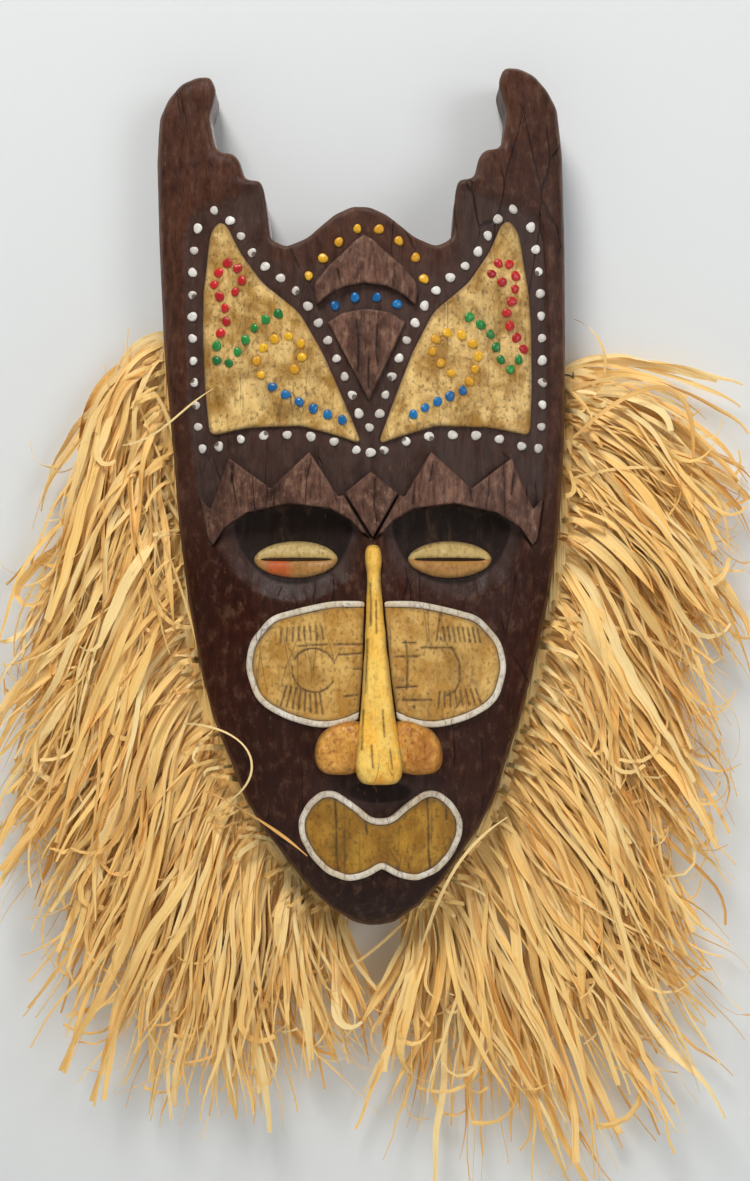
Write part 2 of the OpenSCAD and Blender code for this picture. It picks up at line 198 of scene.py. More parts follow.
# %% Read the outlines of a CAD piece
def cad_triangles(node):
    """Corners in millimetres with doubles joined, and triangles as rows of three corner numbers."""
    mesh = frame["nodes"][node].data
    mesh.calc_loop_triangles()
    corners = np.array([v.co for v in mesh.vertices]) / MM
    keys, index = np.unique(np.round(corners, 2), axis=0, return_inverse=True)
    triangles = index.ravel()[np.array([t.vertices for t in mesh.loop_triangles])]
    return keys, triangles


def chained(edges):
    """Joins directed edges into closed runs of corner numbers."""
    following = {}
    for a, b in edges:
        following.setdefault(a, []).append(b)
    runs = []
    while following:
        start = next(iter(following))
        run, here = [], start
        while here in following:
            run.append(here)
            there = following[here].pop()
            if not following[here]:
                del following[here]
            here = there
        runs.append(run)
    return runs


def outlines(node, facing=-1, behind=None):
    """The outer outline and the holes of a piece's front (-1) or back (+1), largest first.

    Each is a row of (x, z) points. Faces with a corner further forward than behind are left out.
    """
    corners, triangles = cad_triangles(node)
    a, b, c = (corners[triangles[:, k]] for k in range(3))
    normal = np.cross(b - a, c - a)
    normal /= np.maximum(np.linalg.norm(normal, axis=1), 1e-9)[:, None]
    chosen = normal[:, 1] * facing > 0.3
    if behind is not None:
        chosen &= np.minimum(np.minimum(a[:, 1], b[:, 1]), c[:, 1]) > behind
    edges = {(t[k], t[(k + 1) % 3]) for t in triangles[chosen].tolist() for k in range(3)}
    runs = chained([e for e in edges if (e[1], e[0]) not in edges])
    loops = [corners[run][:, [0, 2]] for run in runs if len(run) > 3]
    return sorted(loops, key=lambda loop: -np.ptp(loop, axis=0).sum())


# %% Work with closed outlines
def turned(loop, anticlockwise=True):
    """The outline with its points in the wanted direction."""
    x, z = loop[:, 0], loop[:, 1]
    area = (x * np.roll(z, -1) - z * np.roll(x, -1)).sum()
    return loop if (area > 0) == anticlockwise else loop[::-1]


def spaced(loop, step):
    """Points at equal steps along a closed outline."""
    ring = np.vstack([loop, loop[:1]])
    run = np.concatenate([[0], np.cumsum(np.linalg.norm(np.diff(ring, axis=0), axis=1))])
    at = np.linspace(0, run[-1], max(12, int(run[-1] / step)), endpoint=False)
    return np.stack([np.interp(at, run, ring[:, k]) for k in (0, 1)], axis=1)


def edge_distance(points, loops):
    """How far each point is from the nearest edge, worked out for a block of points at a time."""
    best = np.full(len(points), 1e9)
    block = 3000
    for loop in loops:
        along = np.roll(loop, -1, axis=0) - loop
        square = (along ** 2).sum(1) + 1e-12
        for s in range(0, len(points), block):
            offset = points[s:s + block, None, :] - loop[None]
            t = np.clip((offset * along).sum(2) / square, 0, 1)
            gap = ((offset - t[..., None] * along) ** 2).sum(2).min(1)
            best[s:s + block] = np.minimum(best[s:s + block], np.sqrt(gap))
    return best


def inside(points, loops):
    """True for each point that lies in the outline and not in one of its holes."""
    odd = np.zeros(len(points), bool)
    x, z = points[:, 0], points[:, 1]
    for loop in loops:
        for (x0, z0), (x1, z1) in zip(loop, np.roll(loop, -1, axis=0)):
            if z0 != z1:
                crosses = ((z0 > z) != (z1 > z)) & (x < (x1 - x0) * (z - z0) / (z1 - z0) + x0)
                odd ^= crosses
    return odd


def inward(loop, distance):
    """The outline moved to its inner side by one distance, or by one for each point."""
    along = np.roll(loop, -1, axis=0) - np.roll(loop, 1, axis=0)
    along /= np.maximum(np.linalg.norm(along, axis=1), 1e-9)[:, None]
    return loop + np.reshape(distance, (-1, 1)) * np.stack([-along[:, 1], along[:, 0]], axis=1)


def softened(corners, rounds=3):
    """A closed outline with its corners cut again and again until they are round."""
    loop = np.array(corners, float)
    for _ in range(rounds):
        after = np.roll(loop, -1, axis=0)
        loop = np.stack([0.75 * loop + 0.25 * after, 0.25 * loop + 0.75 * after], axis=1).reshape(-1, 2)
    return loop


# %% Fill an outline with triangles
ROW_PITCH = 0.87
EDGE_CLEAR = 0.55


def fill(loops, step, insets=()):
    """Points, triangles and the numbers of each outline's points.

    Rows of points follow the edges at the insets, and an even grid fills the rest.
    """
    sets = list(loops)
    for distance in insets:
        for loop in loops:
            row = inward(loop, distance)
            off = edge_distance(row, loops)
            sets.append(row[inside(row, loops) & (np.abs(off - distance) < 0.12 * distance + 0.02)])
    if step:
        low, high = loops[0].min(0), loops[0].max(0)
        rows = np.arange(low[1], high[1], step * ROW_PITCH)
        columns = np.arange(low[0], high[0], step)
        grid = np.array([(x + 0.5 * step * (i % 2), z) for i, z in enumerate(rows) for x in columns])
        grid = grid[inside(grid, loops)]
        margin = (insets[-1] if insets else 0) + EDGE_CLEAR * step
        sets.append(grid[edge_distance(grid, loops) > margin])
    points = np.vstack(sets)
    starts = np.cumsum([0] + [len(loop) for loop in loops])
    edges = [(s + k, s + (k + 1) % len(loop)) for s, loop in zip(starts, loops) for k in range(len(loop))]
    made = delaunay_2d_cdt([tuple(p) for p in points], edges, [], 0, 1e-7)
    flat = np.array([tuple(v) for v in made[0]])
    source = {old: new for new, olds in enumerate(made[3]) for old in olds}
    triangles = np.array(made[2])
    a, b, c = (flat[triangles[:, k]] for k in range(3))
    triangles = triangles[inside((a + b + c) / 3, loops)]
    a, b, c = (flat[triangles[:, k]] for k in range(3))
    clockwise = np.cross(b - a, c - a) < 0
    triangles[clockwise] = triangles[clockwise][:, ::-1]
    rims = [[source[s + k] for k in range(len(loop))] for s, loop in zip(starts, loops)]
    return flat, triangles, rims


# %% Turn points and faces into a piece
def piece(name, points, faces, body="mask", slot=None, stands_for=(), smooth=True, **marks):
    """A mesh from points in millimetres. Each mark is a value at every point that the finish can read."""
    mesh = bpy.data.meshes.new(name)
    mesh.from_pydata((np.asarray(points) * MM).tolist(), [], [tuple(int(i) for i in f) for f in faces])
    for mark, values in marks.items():
        layer = mesh.attributes.new(mark, "FLOAT", "POINT")
        layer.data.foreach_set("value", np.asarray(values, np.float32))
    mesh.polygons.foreach_set("use_smooth", [smooth] * len(mesh.polygons))
    mesh.update()
    made = bpy.data.objects.new(name, mesh)
    bpy.context.scene.collection.objects.link(made)
    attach(made, body)
    if stands_for:
        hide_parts(*stands_for)
    return made


def wall_faces(ring, low_ring):
    """Quads between two rings of corner numbers, one in front and one behind."""
    n = len(ring)
    return [(ring[k], low_ring[k], low_ring[(k + 1) % n], ring[(k + 1) % n]) for k in range(n)]


print("corners of the CAD board:", len(cad_triangles("mask_board")[0]))

# %% [markdown]
# ## The carved surface
# One rule gives the whole front of the block: a crowned plank, rolled back at the chin and the horn
# tips, with a sunken field between two raised side bands and a bowl scooped out for each eye. Long soft
# ripples are left by the gouge. Every painted panel below is laid on this same rule, so it always
# touches the wood.

# %% The rule for the front of the block
board_low = np.array(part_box("mask_board")[0]) / MM
CHIN_Z = board_low[2]
BOARD_D = -board_low[1]
CROWN_R = 327
LEAN = 0.028
LEAN_HEIGHT = 214
FIELD_DEEP = 2.5
FIELD_SIDE = np.array([(221, 92), (225, 96), (256, 101.5), (300, 105.5), (400, 105.5), (424, 100)])
SOCKET_DEEP = 12
SOCKET_R = 90
SOCKET_CENTRE = (46, 236)
ARCH = np.array([(0, 226), (6, 229), (12, 236), (24, 243), (48, 246), (72, 241), (86, 232), (93, 222),
                 (103, 212)])
EDGE_STEP = 1.5

board_back = [spaced(turned(loop), EDGE_STEP) for loop in outlines("mask_board", 1, -0.05)]
board_edge = board_back[0]


def on_board(points):
    """Distance from the leaning centre line, and height above the chin."""
    height = points[:, 1] - CHIN_Z
    return points[:, 0] - LEAN * (LEAN_HEIGHT - height), height


def board_masks(points):
    """How much each point belongs to the field and to a socket, and how far it is from the edge."""
    across, height = on_board(points)
    out = np.abs(across)
    arch = np.interp(out, ARCH[:, 0], ARCH[:, 1])
    above = step_up(-0.4, 0.8, height - arch)
    near_horn = step_up(56, 62, out)
    field = step_up(-0.5, 0.9, np.interp(height, FIELD_SIDE[:, 0], FIELD_SIDE[:, 1]) - out) * above
    field *= 1 - near_horn * step_up(418, 430, height + 0.35 * (out - 80))
    from_centre = (out - SOCKET_CENTRE[0]) ** 2 + (height - SOCKET_CENTRE[1]) ** 2
    bowl = 1 - from_centre / (2 * SOCKET_R * SOCKET_DEEP)
    socket = np.clip(bowl, 0, 1) * (1 - above) * step_up(5, 8, out)
    return field, socket, edge_distance(points, [board_edge])


def crowned(x):
    """How far a crowned surface falls back at each distance from the middle."""
    return CROWN_R - np.sqrt(CROWN_R ** 2 - x ** 2)


def front(points, masks=None):
    """The y of the carved surface, in millimetres: more negative is further forward."""
    across, height = on_board(points)
    field, socket, edge_gap = masks or board_masks(points)
    y = crowned(points[:, 0]) - BOARD_D
    # The horn tips and the chin fall back, then the field and the sockets are cut.
    y += 3 * np.clip((height - 405) / 95, 0, 1) ** 2 + 9 * np.clip((30 - height) / 30, 0, 1) ** 2
    y += FIELD_DEEP * field + SOCKET_DEEP * socket
    # The face is rounded a long way in from its edge, the side bands only a little.
    face = 1 - step_up(205, 250, height)
    y += 7 * face * np.clip(1 - edge_gap / 30, 0, 1) ** 2
    y += 2.2 * (1 - face) * (1 - field) * np.clip(1 - edge_gap / 8, 0, 1) ** 2
    # Ripples of the gouge, from broad to fine; the last step brings their mean back to the CAD surface.
    y += 0.6 * noise(across / 17 + 40, height / 42) + 1.3 * np.abs(noise(across / 12 + 3, height / 30 + 7))
    y += 0.55 * np.abs(noise(across / 5, height / 13 + 90)) + 0.2 * noise(across / 1.9 + 9, height / 6)
    return y - 0.7


print("the board is", round(BOARD_D, 1), "mm deep and its edge has", len(board_edge), "points")


# %% [markdown]
# ## The block itself
# The block is a closed solid: the carved front, sides that keep the marks of the knife, a flat rim
# against the wall, a hollow with gouge marks, and a small square recess for the hanger. The two eye
# slits go right through.

# %% Measures and marks of the block
FRONT_STEP = 1.7
ROUND_OVER = 3.5
SLIT_HALF_WIDE = 20.5
SLIT_HALF_HIGH = 1.05
BACK_ROUND = 1.2
HOLLOW_WALL = 18
RECESS_DEEP = 7
FLARE = 1.2


def slit(side):
    """The outline of the see-through slit of one eye, a slim leaf shape."""
    low, high = (np.array(corner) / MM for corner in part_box(side + "_eye"))
    turn = np.linspace(0, 2 * np.pi, 40, endpoint=False)
    middle = (low + high) / 2
    x = middle[0] + SLIT_HALF_WIDE * np.cos(turn)
    z = middle[2] + SLIT_HALF_HIGH * np.sign(np.sin(turn)) * np.abs(np.sin(turn)) ** 0.6
    return np.stack([x, z], axis=1)


slits = {side: slit(side) for side in SIDES}
slit_holes = [turned(loop, False) for loop in slits.values()]
parts, faces, marks = [], [], {"black": [], "edge": [], "depth": []}
count = 0


def add_points(points, black, edge, depth):
    """Adds points with their marks for the finish to the board; returns the number of the first one."""
    global count
    first = count
    parts.append(points)
    count += len(points)
    for mark, values in (("black", black), ("edge", edge), ("depth", depth)):
        marks[mark].append(np.broadcast_to(values, len(points)).astype(float))
    return first


# %% Build the front of the board
flat, triangles, rims = fill([board_edge] + slit_holes, FRONT_STEP, (0.5, 1.4, 2.6, 4))
masks = board_masks(flat)
across, height = on_board(flat)
gap = np.minimum(masks[2], ROUND_OVER)
y = front(flat, masks) + ROUND_OVER - np.sqrt(ROUND_OVER ** 2 - (ROUND_OVER - gap) ** 2)
# Black is rubbed into the field, less on its crest, and a little on the face; the black in the
# sockets under the brow and the black just under the nose is painted shade.
crest = step_up(372, 392, height) * (1 - step_up(48, 62, np.abs(across)))
black = 0.72 * masks[0] * (1 - 0.7 * crest)
black += 0.8 * step_up(0.2, 0.7, masks[1]) + 0.5 * step_up(0.0, 0.3, masks[1])
black += 1.1 * np.exp(-(across / 30) ** 2 - ((height - 80) / 10) ** 2)
black += 0.12 * (1 - step_up(56, 80, np.abs(across))) * (1 - step_up(205, 222, height))
first = add_points(np.stack([flat[:, 0], y, flat[:, 1]], axis=1), np.clip(black, 0, 1),
                   np.clip(1 - masks[2] / 5, 0, 1), masks[1])
faces += (triangles + first).tolist()
front_rims = [[i + first for i in rim] for rim in rims]
print("front of the board:", len(flat), "points")

# %% Add the sides of the board
SIDE_ROWS = 14
ring = front_rims[0]
rim_y = y[rims[0]]
turn_run = np.arange(len(board_edge)) * EDGE_STEP
for row in range(1, SIDE_ROWS + 1):
    share = row / SIDE_ROWS
    cut = 0.5 * noise(turn_run / 12, np.full(len(board_edge), share * 2.2)) * math.sin(math.pi * share)
    rounded = BACK_ROUND * max(0, share - 0.86) / 0.14
    loop = inward(board_edge, 0.4 + cut + rounded if row < SIDE_ROWS else BACK_ROUND)
    depth = rim_y * (1 - share)
    first = add_points(np.stack([loop[:, 0], depth, loop[:, 1]], axis=1), 0.1, 0.15, 0)
    low_ring = list(range(first, first + len(loop)))
    faces += wall_faces(ring, low_ring)
    ring = low_ring
print("rows of points down the sides:", SIDE_ROWS)

# %% Add the flat rim of the back
back_loops = [inward(board_edge, BACK_ROUND)] + [turned(loop, False) for loop in board_back[1:3]]
flat, triangles, rims = fill(back_loops, 7)
first = add_points(np.stack([flat[:, 0], np.zeros(len(flat)), flat[:, 1]], axis=1), 0.0, 0.0, 1)
faces += (triangles[:, ::-1] + first).tolist()
pockets = [[i + first for i in rim] for rim in rims[1:]]
hollow_loop, recess_loop = back_loops[1], back_loops[2]
print("outlines on the back:", len(back_loops))


# %% Cut the hollow and the hanger recess
def pocket(rim, loop, holes, floor_rule, step, rows):
    """Walls and a floor for a hollow cut from the back, and the rims of the holes in its floor."""
    ring = rim
    order = turned(inward(loop, -FLARE))
    flat, triangles, rims = fill([order] + holes, step)
    floor = floor_rule(flat)
    floor_rim = floor[rims[0]]
    flip = not np.allclose(order[0], inward(loop, -FLARE)[0])
    rim_depth = floor_rim[::-1] if flip else floor_rim
    for row in range(1, rows):
        share = row / rows
        line = inward(loop, -FLARE * share)
        first = add_points(np.stack([line[:, 0], rim_depth * share, line[:, 1]], axis=1), 0.0, 0.0, 1)
        low_ring = list(range(first, first + len(line)))
        faces.extend(wall_faces(low_ring, ring))
        ring = low_ring
    first = add_points(np.stack([flat[:, 0], floor, flat[:, 1]], axis=1), 0.0, 0.0, 1)
    faces.extend((triangles[:, ::-1] + first).tolist())
    floor_ring = [i + first for i in rims[0]]
    floor_ring = floor_ring[::-1] if flip else floor_ring
    faces.extend(wall_faces(floor_ring, ring))
    return [[i + first for i in rim] for rim in rims[1:]]


def hollow_floor(points):
    """The floor of the hollow follows the front, one wall behind it, with broad gouge marks."""
    x, z = points[:, 0], points[:, 1]
    return crowned(x) - BOARD_D + HOLLOW_WALL + 0.7 * noise(x / 9, z / 26) + 0.3 * noise(x / 4, z / 9)


def recess_floor(points):
    return np.full(len(points), -float(RECESS_DEEP))


floor_slits = pocket(pockets[0], hollow_loop, slit_holes, hollow_floor, 3, 6)
pocket(pockets[1], recess_loop, [], recess_floor, 6, 3)
for near, far in zip(front_rims[1:], floor_slits):
    faces += wall_faces(near, far)
print("eye slits cut through:", len(floor_slits))

# %% Join the board into one mesh
board = piece("carved_board", np.vstack(parts), faces, slot="stained_wood", stands_for=["mask_board"],
              **{mark: np.concatenate(values) for mark, values in marks.items()})
work = bmesh.new()
work.from_mesh(board.data)
bmesh.ops.remove_doubles(work, verts=work.verts, dist=0.01 * MM)
bmesh.ops.recalc_face_normals(work, faces=work.faces)
open_edges = sum(not edge.is_manifold for edge in work.edges)
work.to_mesh(board.data)
work.free()
print("board:", len(board.data.polygons), "faces,", open_edges, "open edges")

# %% [markdown]
# ## Raised pieces
# The brow, the crest, the painted panels, the rims, the nose and the eyes stand proud of the block.
# Each is laid on the rule of the block's front: its outline is filled with triangles, its top is lifted
# and rounded off towards the edge, and its sides run down into the wood so that no gap shows. A knife
# line is a short valley in the top, and the same line is kept as a mark for the paint to darken.

# %% A raised piece from its CAD outline
RELIEF_SINK = 1.2
KNIFE_HALF_WIDE = 0.55
LOOP_STEP = 1.0
EDGE_ROWS = (0.25, 0.6, 1.1, 1.8)
# How far in from its edge a painted piece is darkened by grime and painted shade.
DIRT_AND_SHADE_WIDE = 2.5
SHADOW_LINE = 0.7


def line_distance(points, lines):
    """Distance from each point to the nearest of some open lines."""
    best = np.full(len(points), 1e9)
    for line in lines:
        for a, b in zip(np.array(line[:-1], float), np.array(line[1:], float)):
            t = np.clip(((points - a) @ (b - a)) / max((b - a) @ (b - a), 1e-9), 0, 1)
            best = np.minimum(best, np.linalg.norm(points - a - t[:, None] * (b - a), axis=1))
    return best


def relief(name, node, rise, round_over, step=0.9, level=(0, 0), lines=(), cut=0.6, outline=None, hole=None,
           drop=None, rough=0.08, slot=None):
    """A carved plate laid on the front of the block.

    level says how far the piece lies in the field and in a socket; rise is a height or a rule for it;
    lines are knife lines that are cut into the top; drop limits how much of the height is rounded off.
    """
    loops = [outline] if outline is not None else outlines(node)
    loops = loops if node.endswith("rim") else loops[:1]
    loops = [spaced(turned(loop, k == 0), LOOP_STEP) for k, loop in enumerate(loops)]
    outer = list(loops)
    if hole is not None:
        loops.append(turned(hole, False))
    flat, triangles, rims = fill(loops, step, [row for row in EDGE_ROWS if row < 1.6 * round_over])
    gap = edge_distance(flat, outer)
    true_masks = board_masks(flat)
    masks = (np.full(len(flat), float(level[0])), true_masks[1] * level[1], true_masks[2])
    base = front(flat, masks)
    across, height = on_board(flat)
    lift = rise(across, height) if callable(rise) else np.full(len(flat), float(rise))
    fall = lift if drop == "dome" else np.minimum(lift, drop or round_over)
    share = np.clip(gap / round_over, 0, 1)
    y = base - (lift - fall) - fall * np.sqrt(1 - (1 - share) ** 2)
    if hole is not None:
        y += 0.5 * (1 - step_up(0, 0.9, edge_distance(flat, loops[1:])))
    wobble = noise(flat[:, 0] / 3.1, flat[:, 1] / 5.3) + 0.5 * noise(flat[:, 0] / 1.2, flat[:, 1] / 1.6)
    y += rough * wobble * step_up(0, 1.5, gap)
    marks = np.zeros(len(flat))
    if lines:
        near = line_distance(np.stack([across, height], axis=1), lines)
        near += 0.18 * noise(flat[:, 0] / 1.5, flat[:, 1] / 1.5)
        marks = np.exp(-(near / KNIFE_HALF_WIDE) ** 2)
        y += cut * marks * step_up(0, 0.6, gap)
    top = np.stack([flat[:, 0], y, flat[:, 1]], axis=1)
    points, faces, count = [top], triangles.tolist(), len(top)
    low_rims = []
    for rim in rims:
        ring, upper = rim, top[rim]
        for share in (0.5, 1):
            lower = upper.copy()
            lower[:, 1] = upper[:, 1] * (1 - share) + (base[rim] + RELIEF_SINK) * share
            points.append(lower)
            low_ring = list(range(count, count + len(rim)))
            count += len(rim)
            faces += wall_faces(ring, low_ring)
            ring = low_ring
        low_rims.append(ring)
    under, under_triangles, under_rims = fill([flat[rim] for rim in rims], 0)
    match = {i: low for rim, lows in zip(under_rims, low_rims) for i, low in zip(rim, lows)}
    for spare in sorted(set(under_triangles.ravel().tolist()) - set(match)):
        nearest = int(np.argmin(np.linalg.norm(flat - under[spare], axis=1)))
        points.append(np.array([[under[spare][0], base[nearest] + RELIEF_SINK, under[spare][1]]]))
        match[spare] = count
        count += 1
    faces += [(match[a], match[c], match[b]) for a, b, c in under_triangles.tolist()]
    extra = count - len(top)
    # The edge mark darkens a painted piece near its edge and down its sides with grime and painted shade;
    # the black mark gives a wooden piece a painted shadow line at its foot and painted shade on its sides.
    edge = np.concatenate([np.clip(1 - gap / DIRT_AND_SHADE_WIDE, 0, 1), np.full(extra, 0.9)])
    black = np.concatenate([0.8 * np.clip(1 - gap / SHADOW_LINE, 0, 1), np.full(extra, 1.0)])
    return piece(name, np.vstack(points), faces, stands_for=[node], slot=slot, edge=edge,
                 black=black, marks=np.concatenate([marks, np.zeros(extra)]))


# %% [markdown]
# ## Brow, crest and wing panels
# The brow is a row of flame points over each eye, thick enough to cast a shadow into the sockets. The
# drying wood has split along its grain, so a few cracks run up and down through the thick pieces.

# %% Carve them
IN_FIELD = (1, 0)
ON_FACE = (0, 0)
CRACKS = {
    "crown_wedge": [[(-6, 352), (-5, 338), (-6, 322)], [(6, 349), (5, 333), (6, 325)],
                    [(0.5, 330), (0, 312)]],
    "crown_crescent": [[(-16, 381), (-14, 372)], [(17, 380), (16, 371)]],
    "left_brow": [[(-20, 247), (-22, 256), (-21, 262)], [(-58, 248), (-57, 255)], [(-80, 268), (-81, 258)],
                  [(-37, 271), (-36, 262)]],
    "right_brow": [[(24, 246), (25, 258)], [(57, 254), (58, 247)], [(83, 265), (81, 252)],
                   [(36, 270), (34, 259)]],
    "brow_diamond": [[(2, 260), (1.5, 245), (2.5, 236)]],
}
PANEL_THICK = 2.2
for side in SIDES:
    relief(side + "_flame_brow", side + "_brow", 5.5, 1.2, level=IN_FIELD, lines=CRACKS[side + "_brow"],
           rough=0.16, slot="stained_wood")
    relief(side + "_painted_wing", side + "_wing_panel", PANEL_THICK, 1.1, step=1.1, level=IN_FIELD,
           rough=0.07, slot="cream_paint")
relief("brow_lozenge", "brow_diamond", 6.3, 1.2, level=IN_FIELD, lines=CRACKS["brow_diamond"], rough=0.12,
       slot="stained_wood")
relief("crown_crescent_moon", "crown_crescent", 4.5, 1.8, step=0.8, level=IN_FIELD,
       lines=CRACKS["crown_crescent"], rough=0.12, slot="stained_wood")
relief("crown_wedge_plate", "crown_wedge", 3.0, 1.2, step=0.8, level=IN_FIELD, lines=CRACKS["crown_wedge"],
       rough=0.12, slot="stained_wood")

# %% [markdown]
# ## Cheeks and mouth
# Each cheek is a cream field inside a paler rim that is open towards the nose. A knife has scratched
# rows of short ticks above and below, and a broken ring between them on one side, a bow on the other.
# The marks differ from side to side because they were cut by hand, so they are listed one by one as
# distances from the middle line and heights above the chin.

# %% List the knife marks
def ticks(first, last, number, long, lean_first=0, lean_last=0):
    """A row of short upright ticks whose feet lean more and more."""
    rows = []
    for k in range(number):
        t = k / (number - 1)
        x = first[0] + (last[0] - first[0]) * t
        z = first[1] + (last[1] - first[1]) * t
        lean = lean_first + (lean_last - lean_first) * t
        rows.append([(x, z + long / 2), (x + lean, z - long / 2)])
    return rows


def arc(middle, radius, start, end, number=9):
    """Part of a ring, from one angle to another in degrees."""
    turn = np.radians(np.linspace(start, end, number))
    return [(middle[0] + radius * math.cos(a), middle[1] + radius * math.sin(a)) for a in turn]


KNIFE_MARKS = {
    "left": ticks((-54, 170), (-31, 172), 8, 8, -1, 1) + ticks((-52, 135), (-33, 131), 8, 12, -4, 1.5)
    + [arc((-36, 150), 12.7, 20, 150), arc((-36, 150), 12.7, 170, 330), [(-44, 164), (-28, 165)],
       [(-24, 165), (-7, 165)], [(-21, 159), (-7, 160)], [(-13, 151), (-7, 151)], [(-19, 135), (-11, 136)]],
    "right": ticks((39, 171), (59, 170), 8, 8, 1, 1.5) + ticks((36, 133), (57, 135), 8, 9, -1, 3)
    + [[(26, 163), (43, 163)], [(44, 163), (48, 154), (48, 144), (45, 138), (39, 135)],
       [(15.5, 166), (23, 166)], [(11, 158), (24, 158)], [(11, 140), (23, 141)], [(15, 133), (31, 133)],
       [(17.5, 167), (18, 153), (17, 139)], [(38, 184), (35, 167)]],
}
LIP_CRACKS = [[(-26, 79), (-25.5, 60), (-26, 44), (-25, 31)], [(27, 80), (27.5, 62), (27, 47), (28, 33)],
              [(38, 72), (38, 64)], [(-9, 66), (-8, 56)]]
print("knife marks on the cheeks:", {side: len(lines) for side, lines in KNIFE_MARKS.items()})

# %% Carve cheeks, rims and mouth
RIM_THICK = 3.0
for side in SIDES:
    relief(side + "_painted_cheek", side + "_cheek_panel", PANEL_THICK, 0.8, step=0.8, level=ON_FACE,
           lines=KNIFE_MARKS[side], cut=0.7, slot="cream_paint")
    relief(side + "_cheek_border", side + "_cheek_rim", RIM_THICK, 1.1, step=0.9, level=ON_FACE, rough=0.1,
           slot="pale_paint")
relief("mouth_plate", "mouth_panel", PANEL_THICK, 0.8, step=0.8, level=ON_FACE, lines=LIP_CRACKS, cut=0.8,
       slot="cream_paint")
relief("mouth_border", "mouth_rim", RIM_THICK, 1.1, step=0.9, level=ON_FACE, rough=0.1, slot="pale_paint")

# %% [markdown]
# ## Nose and eyes
# The nose is one long wedge, 6 mm high below the brow and 19 mm near its foot. It has a small knob at
# its upper end and a lumpy nostril on each side. The eyes are low domes in the sockets. Each has a
# fuller lid above a narrow slit that goes right through the block, which is how the wearer sees out.

# %% Shape of the nose
NOSE_HEIGHT = np.array([(83, 2), (86, 16), (88, 17.5), (96, 19), (116, 15.5), (149, 12), (180, 9), (206, 6),
                        (211, 7.2), (219, 6.6), (223, 4), (225, 1.5)])
NOSE_HALF = np.array([(84, 4), (85.2, 8.5), (87.5, 11.6), (91, 13.2), (96, 13.5), (104, 12.6), (120, 10.4),
                      (149, 7.4), (180, 5.2), (200, 4.0), (207, 3.9), (212, 4.9), (217, 5), (220.5, 4),
                      (222.3, 2)])
NOSE_CUTS = [[(3, 128), (3.5, 113)], [(-4, 108), (-3.5, 96)], [(-4.6, 168), (-6.4, 138)],
             [(-2, 200), (-2.4, 176)], [(-8, 128), (-9.6, 106)], [(6.5, 106), (7.5, 95)],
             [(1, 190), (0.6, 172)]]
NOSTRIL_CENTRE = 103
NOSTRIL_HALF = 24
NOSTRIL_RISE = 10.5


def nose_rise(across, height):
    """How far the nose stands forward at each height."""
    return np.interp(height, NOSE_HEIGHT[:, 0], NOSE_HEIGHT[:, 1])


def nose_outline():
    """A wedge with a rounded foot and a small knob between the eyes, as (x, z) in the part's frame."""
    heights = np.linspace(NOSE_HALF[0, 0], NOSE_HALF[-1, 0], 90)
    half = np.interp(heights, NOSE_HALF[:, 0], NOSE_HALF[:, 1])
    half += 0.25 * noise(heights / 9, heights * 0 + 3)
    across = np.concatenate([half, -half[::-1]])
    height = np.concatenate([heights, heights[::-1]])
    return softened(np.stack([across + LEAN * (LEAN_HEIGHT - height), height + CHIN_Z], axis=1))


def nostril_rise(across, height):
    """A nostril is fullest at its middle height."""
    return NOSTRIL_RISE * np.sqrt(1 - ((height - NOSTRIL_CENTRE) / NOSTRIL_HALF) ** 2)


def nostril_outline(side):
    """A squarish lump that climbs a little up the nose, as (x, z) in the part's frame."""
    corners = np.array([(8, 95), (14, 90.5), (24, 89.5), (33, 91), (37, 97), (36.5, 107), (33, 114),
                        (26, 119), (17, 122), (9, 121), (6, 112)], float)
    x = SIDES[side] * corners[:, 0] + LEAN * (LEAN_HEIGHT - corners[:, 1])
    return softened(np.stack([x, corners[:, 1] + CHIN_Z], axis=1))


relief("nose_wedge", "nose_ridge", nose_rise, 6.5, step=0.8, level=ON_FACE, rough=0.2, slot="ochre_paint",
       outline=nose_outline(), lines=NOSE_CUTS, cut=0.4)
for side in SIDES:
    relief(side + "_nostril", side + "_nose_wing", nostril_rise, 5.5, step=0.8, level=ON_FACE, drop=8,
           outline=nostril_outline(side), rough=0.85, slot="ochre_paint")
print("nose height at its foot:", NOSE_HEIGHT[:, 1].max(), "mm")

# %% Shape of the eyes
EYE_HALF_WIDE = 24.5
EYE_HALF_HIGH = 10.8
EYE_OUT = 44


def lid_rise(across, height):
    """Two lids with their crests above and below the slit, lower towards the corners of the eye."""
    out = np.abs(across) - EYE_OUT
    upper = 3.0 * np.exp(-((height - 217.5) / 5) ** 2)
    lower = 2.2 * np.exp(-((height - 210) / 5) ** 2)
    return (1.4 + np.maximum(upper, lower)) * np.clip(1 - (out / 30) ** 2, 0.3, 1)


def eye_outline(side):
    """A slim leaf a little wider than the CAD dome, whose thin ends fade out."""
    low, high = (np.array(corner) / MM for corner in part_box(side + "_eye"))
    turn = np.linspace(0, 2 * np.pi, 60, endpoint=False)
    middle = (low + high) / 2
    x = middle[0] + EYE_HALF_WIDE * np.cos(turn)
    z = middle[2] + EYE_HALF_HIGH * np.sign(np.sin(turn)) * np.abs(np.sin(turn)) ** 1.12
    return np.stack([x, z], axis=1)


for side in SIDES:
    relief(side + "_eyelids", side + "_eye", lid_rise, 3.2, step=0.55, level=(0, 1), drop="dome",
           outline=eye_outline(side), hole=slits[side], rough=0.12, slot="ochre_paint")

# %% [markdown]
# ## Dots of paint
# Each dot is a blob of thick paint set down with the end of a stick: round, a little uneven, with a low
# peak where the stick left it. The CAD dots give the places; the size and the peak vary from one to the
# next. Some of the white ones have lost a chip.

